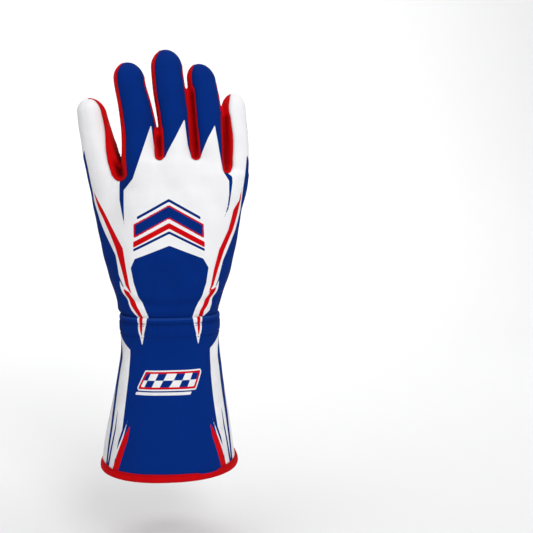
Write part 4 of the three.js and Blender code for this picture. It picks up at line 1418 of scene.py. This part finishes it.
# A stitch is left out where the row leaves the pad, jumps or comes too near to its edge, where it would lie
# under the cuff, or beside a red wall
ROW_GAP = 1.2
ROW_JUMP = 8
ROW_SLACK = 0.9
THREAD_START = 4
THREAD_CLEAR = 1.3


def between(p0, p1, p2, p3, t):
    """A point between p1 and p2 of the smooth curve through four points."""
    bend = 2 * p0 - 5 * p1 + 4 * p2 - p3
    twist = 3 * p1 - p0 - 3 * p2 + p3
    return 0.5 * (2 * p1 + (p2 - p0) * t + bend * t * t + twist * t**3)


def closed_curve(outline, pitch):
    """Evenly spaced points round a smooth closed curve through the outline."""
    outline = np.asarray(outline, float)
    n = len(outline)
    samples = []
    for i in range(n):
        corners = [outline[(i + k) % n] for k in (-1, 0, 1, 2)]
        samples += [between(*corners, t) for t in np.linspace(0, 1, 12, endpoint=False)]
    samples = np.array(samples + [samples[0]])
    length = np.concatenate([[0], np.cumsum(np.linalg.norm(np.diff(samples, axis=0), axis=1))])
    count = int(length[-1] / pitch)
    at = np.arange(count) * length[-1] / count
    return np.stack([np.interp(at, length, samples[:, k]) for k in range(2)], 1)


def inset(curve, distance):
    """The closed curve moved inwards."""
    tangent = np.roll(curve, -1, axis=0) - np.roll(curve, 1, axis=0)
    tangent /= np.linalg.norm(tangent, axis=1, keepdims=True)
    area = np.sum(curve[:, 0] * np.roll(curve[:, 1], -1) - curve[:, 1] * np.roll(curve[:, 0], -1))
    side = 1 if area > 0 else -1
    return curve + side * distance * np.stack([-tangent[:, 1], tangent[:, 0]], 1)


def stitch_shapes(rows, size):
    """One small rounded stitch at each place of each row; a row is places, directions and normals."""
    places, along, normals = (np.concatenate(column) for column in zip(*rows))
    length, width, height = size
    rings, sides = 5, 6
    lengthwise = np.cos(np.linspace(math.pi, 0, rings))
    size = np.sqrt(np.maximum(1 - lengthwise**2, 0)) + 0.02
    around = np.linspace(0, 2 * math.pi, sides, endpoint=False)
    across = np.cross(normals, along)
    points = []
    for s, r in zip(lengthwise, size):
        for angle in around:
            offset = (
                along * (s * length / 2)
                + across * (r * math.cos(angle) * width / 2)
                + normals * (r * math.sin(angle) * height / 2)
            )
            points.append(places + offset)
    points = np.stack(points, 1)
    per = rings * sides
    faces = []
    for r in range(rings - 1):
        for i in range(sides):
            a, b = r * sides + i, r * sides + (i + 1) % sides
            faces += [(a, b, b + sides), (a, b + sides, a + sides)]
    for i in range(1, sides - 1):
        faces.append((0, i + 1, i))
        last = (rings - 1) * sides
        faces.append((last, last + i, last + i + 1))
    faces = np.array(faces)
    starts = np.arange(len(places)) * per
    return points.reshape(-1, 3), (faces[None] + starts[:, None, None]).reshape(-1, 3)


def laid_on(flat, values, row, number=4):
    """Values from the points nearest to each place of the row, weighted by how near they are."""
    gaps = ((row[:, None] - flat[None]) ** 2).sum(2)
    order = np.argsort(gaps, axis=1)[:, :number]
    near = np.take_along_axis(gaps, order, 1)
    weight = 1 / (near + 0.02)
    weight /= weight.sum(1, keepdims=True)
    return (values[order] * weight[:, :, None]).sum(1), np.sqrt(near[:, 0])


def build_stitching(surfaces, looks):
    """Two rows round each pad."""
    rows = []
    for name, (outer, normals) in surfaces.items():
        outline = pad_outline(name)
        curve = closed_curve(outline, STITCH_PITCH)
        flat, _ = pad_plane(name, outer)
        for distance in PAD_ROWS:
            row = inset(curve, distance)
            spot, gap = laid_on(flat, outer, row)
            normal = unit(laid_on(flat, normals, row)[0])
            ahead = np.roll(spot, -1, axis=0) - np.roll(spot, 1, axis=0)
            on_pad = (gap < ROW_GAP) & (np.linalg.norm(ahead, axis=1) < ROW_JUMP)
            inside = -polygon_distance(row, outline) > distance - ROW_SLACK
            good = on_pad & inside & (row[:, 1] > THREAD_START) & (red_distance(spot) > THREAD_CLEAR)
            direction = unit(ahead - normal * (ahead * normal).sum(1, keepdims=True))
            rows.append(((spot + normal * THREAD_LIFT[0])[good], direction[good], normal[good]))
    points, faces = stitch_shapes(rows, PAD_STITCH)
    add_piece("pad_stitching", points, faces, looks["thread"], [])


def build_cuff_stitching(looks):
    """Two rows of stitches round the top of the cuff and one below the elastic band."""
    rows = []
    angles = np.linspace(-math.pi, math.pi, CUFF_STITCHES, endpoint=False)
    for z in (*WRIST_STITCHES, BAND_STITCHES):
        level = np.full(CUFF_STITCHES, z)
        offset = cuff_relief(angles, level)
        spot = cuff_points(angles, level, offset + THREAD_LIFT[1])
        outward = unit(cuff_points(angles, level, offset + 1) - cuff_points(angles, level, offset))
        ahead = unit(np.roll(spot, -1, axis=0) - np.roll(spot, 1, axis=0))
        rows.append((spot, ahead, outward))
    points, faces = stitch_shapes(rows, CUFF_STITCH)
    add_piece("cuff_stitching", points, faces, looks["cuff_thread"], [])


# The stage, the lights and the camera, in metres

def build_stage():
    """A pale floor that curves up into a backdrop."""
    floor, half_width, near, wall, top = -0.185, 2.5, -2.2, 1.6, 3.0
    radius = 0.8
    profile = [(near, floor), (wall - radius, floor)]
    profile += [
        (wall - radius + radius * math.sin(t), floor + radius - radius * math.cos(t))
        for t in np.linspace(0, math.pi / 2, 16)[1:]
    ]
    profile.append((wall, top))
    points = [(x, y, z) for y, z in profile for x in (-half_width, half_width)]
    faces = [(2 * i, 2 * i + 1, 2 * i + 3, 2 * i + 2) for i in range(len(profile) - 1)]
    mesh = bpy.data.meshes.new("backdrop")
    mesh.from_pydata(points, [], faces)
    mesh.shade_smooth()
    mesh.materials.append(plain_look("backdrop", BACKDROP_GREY, 0.9))
    backdrop = placed("backdrop", mesh)


def aim(thing, place, direction):
    thing.location = place
    thing.rotation_euler = direction.to_track_quat("-Z", "Y").to_euler()


def add_area_light(name, place, target, size, power, spread=180):
    light = bpy.data.lights.new(name, "AREA")
    light.size = size
    light.energy = power
    light.spread = math.radians(spread)
    aim(placed(name, light), place, Vector(target) - Vector(place))


WORLD_LIGHT = 0.51


def build_lights():
    """Even light from all round, a key light before the glove and one that brightens the backdrop."""
    world = bpy.data.worlds.new("studio")
    bpy.context.scene.world = world
    world.use_nodes = True
    world.node_tree.nodes["Background"].inputs["Color"].default_value = (1, 1, 1, 1)
    world.node_tree.nodes["Background"].inputs["Strength"].default_value = WORLD_LIGHT
    add_area_light("key", place=(0.4, -1.25, 0.7), target=(0, 0, 0.04), size=0.55, power=10.9)
    add_area_light(
        "backdrop_light", place=(0, 0.2, 1.6), target=(0, 1.4, 0.2), size=1.6, power=11.2, spread=110,
    )


def build_camera():
    """The photograph's viewpoint: 650 mm away, 105 mm above the wrist seam, looking right of it and down."""
    yaw, pitch = math.radians(6.52), math.radians(6.1)
    level = math.cos(pitch)
    forward = Vector((math.sin(yaw) * level, math.cos(yaw) * level, -math.sin(pitch)))
    data = bpy.data.cameras.new("camera")
    data.sensor_width = 36
    data.lens = 57.75
    data.clip_start = 0.01
    camera = placed("camera", data)
    aim(camera, (0, -0.65, 0.1052), forward)
    bpy.context.scene.camera = camera


build_camera()
build_stage()
build_lights()
# Materials, each with its slot
LOOKS = {
    "white": (printed_look("printed_white", WHITE, BLUE), "white_fabric"),
    "blue": (printed_look("printed_blue", BLUE, WHITE), "blue_fabric"),
    "red": (red_look("red_fabric", WALL_RED), "red_fabric"),
    "binding": (red_look("red_binding", RED), "red_binding"),
    "suede": (suede_look("black_suede", 1.0), "black_suede"),
    "pad": (suede_look("pad_suede", 0.85), "pad_suede"),
    "thread": (thread_look("thread", THREAD), "pad_suede"),
    "cuff_thread": (thread_look("cuff_thread", CUFF_THREAD), "blue_fabric"),
}
palm_base, palm_triangles = build_hand(LOOKS)
pad_surfaces = build_pads(palm_base, palm_triangles, LOOKS)
build_stitching(pad_surfaces, LOOKS)
build_cuff(LOOKS)
build_cuff_stitching(LOOKS)
build_binding(LOOKS)

bpy.context.scene.view_settings.view_transform = "Standard"
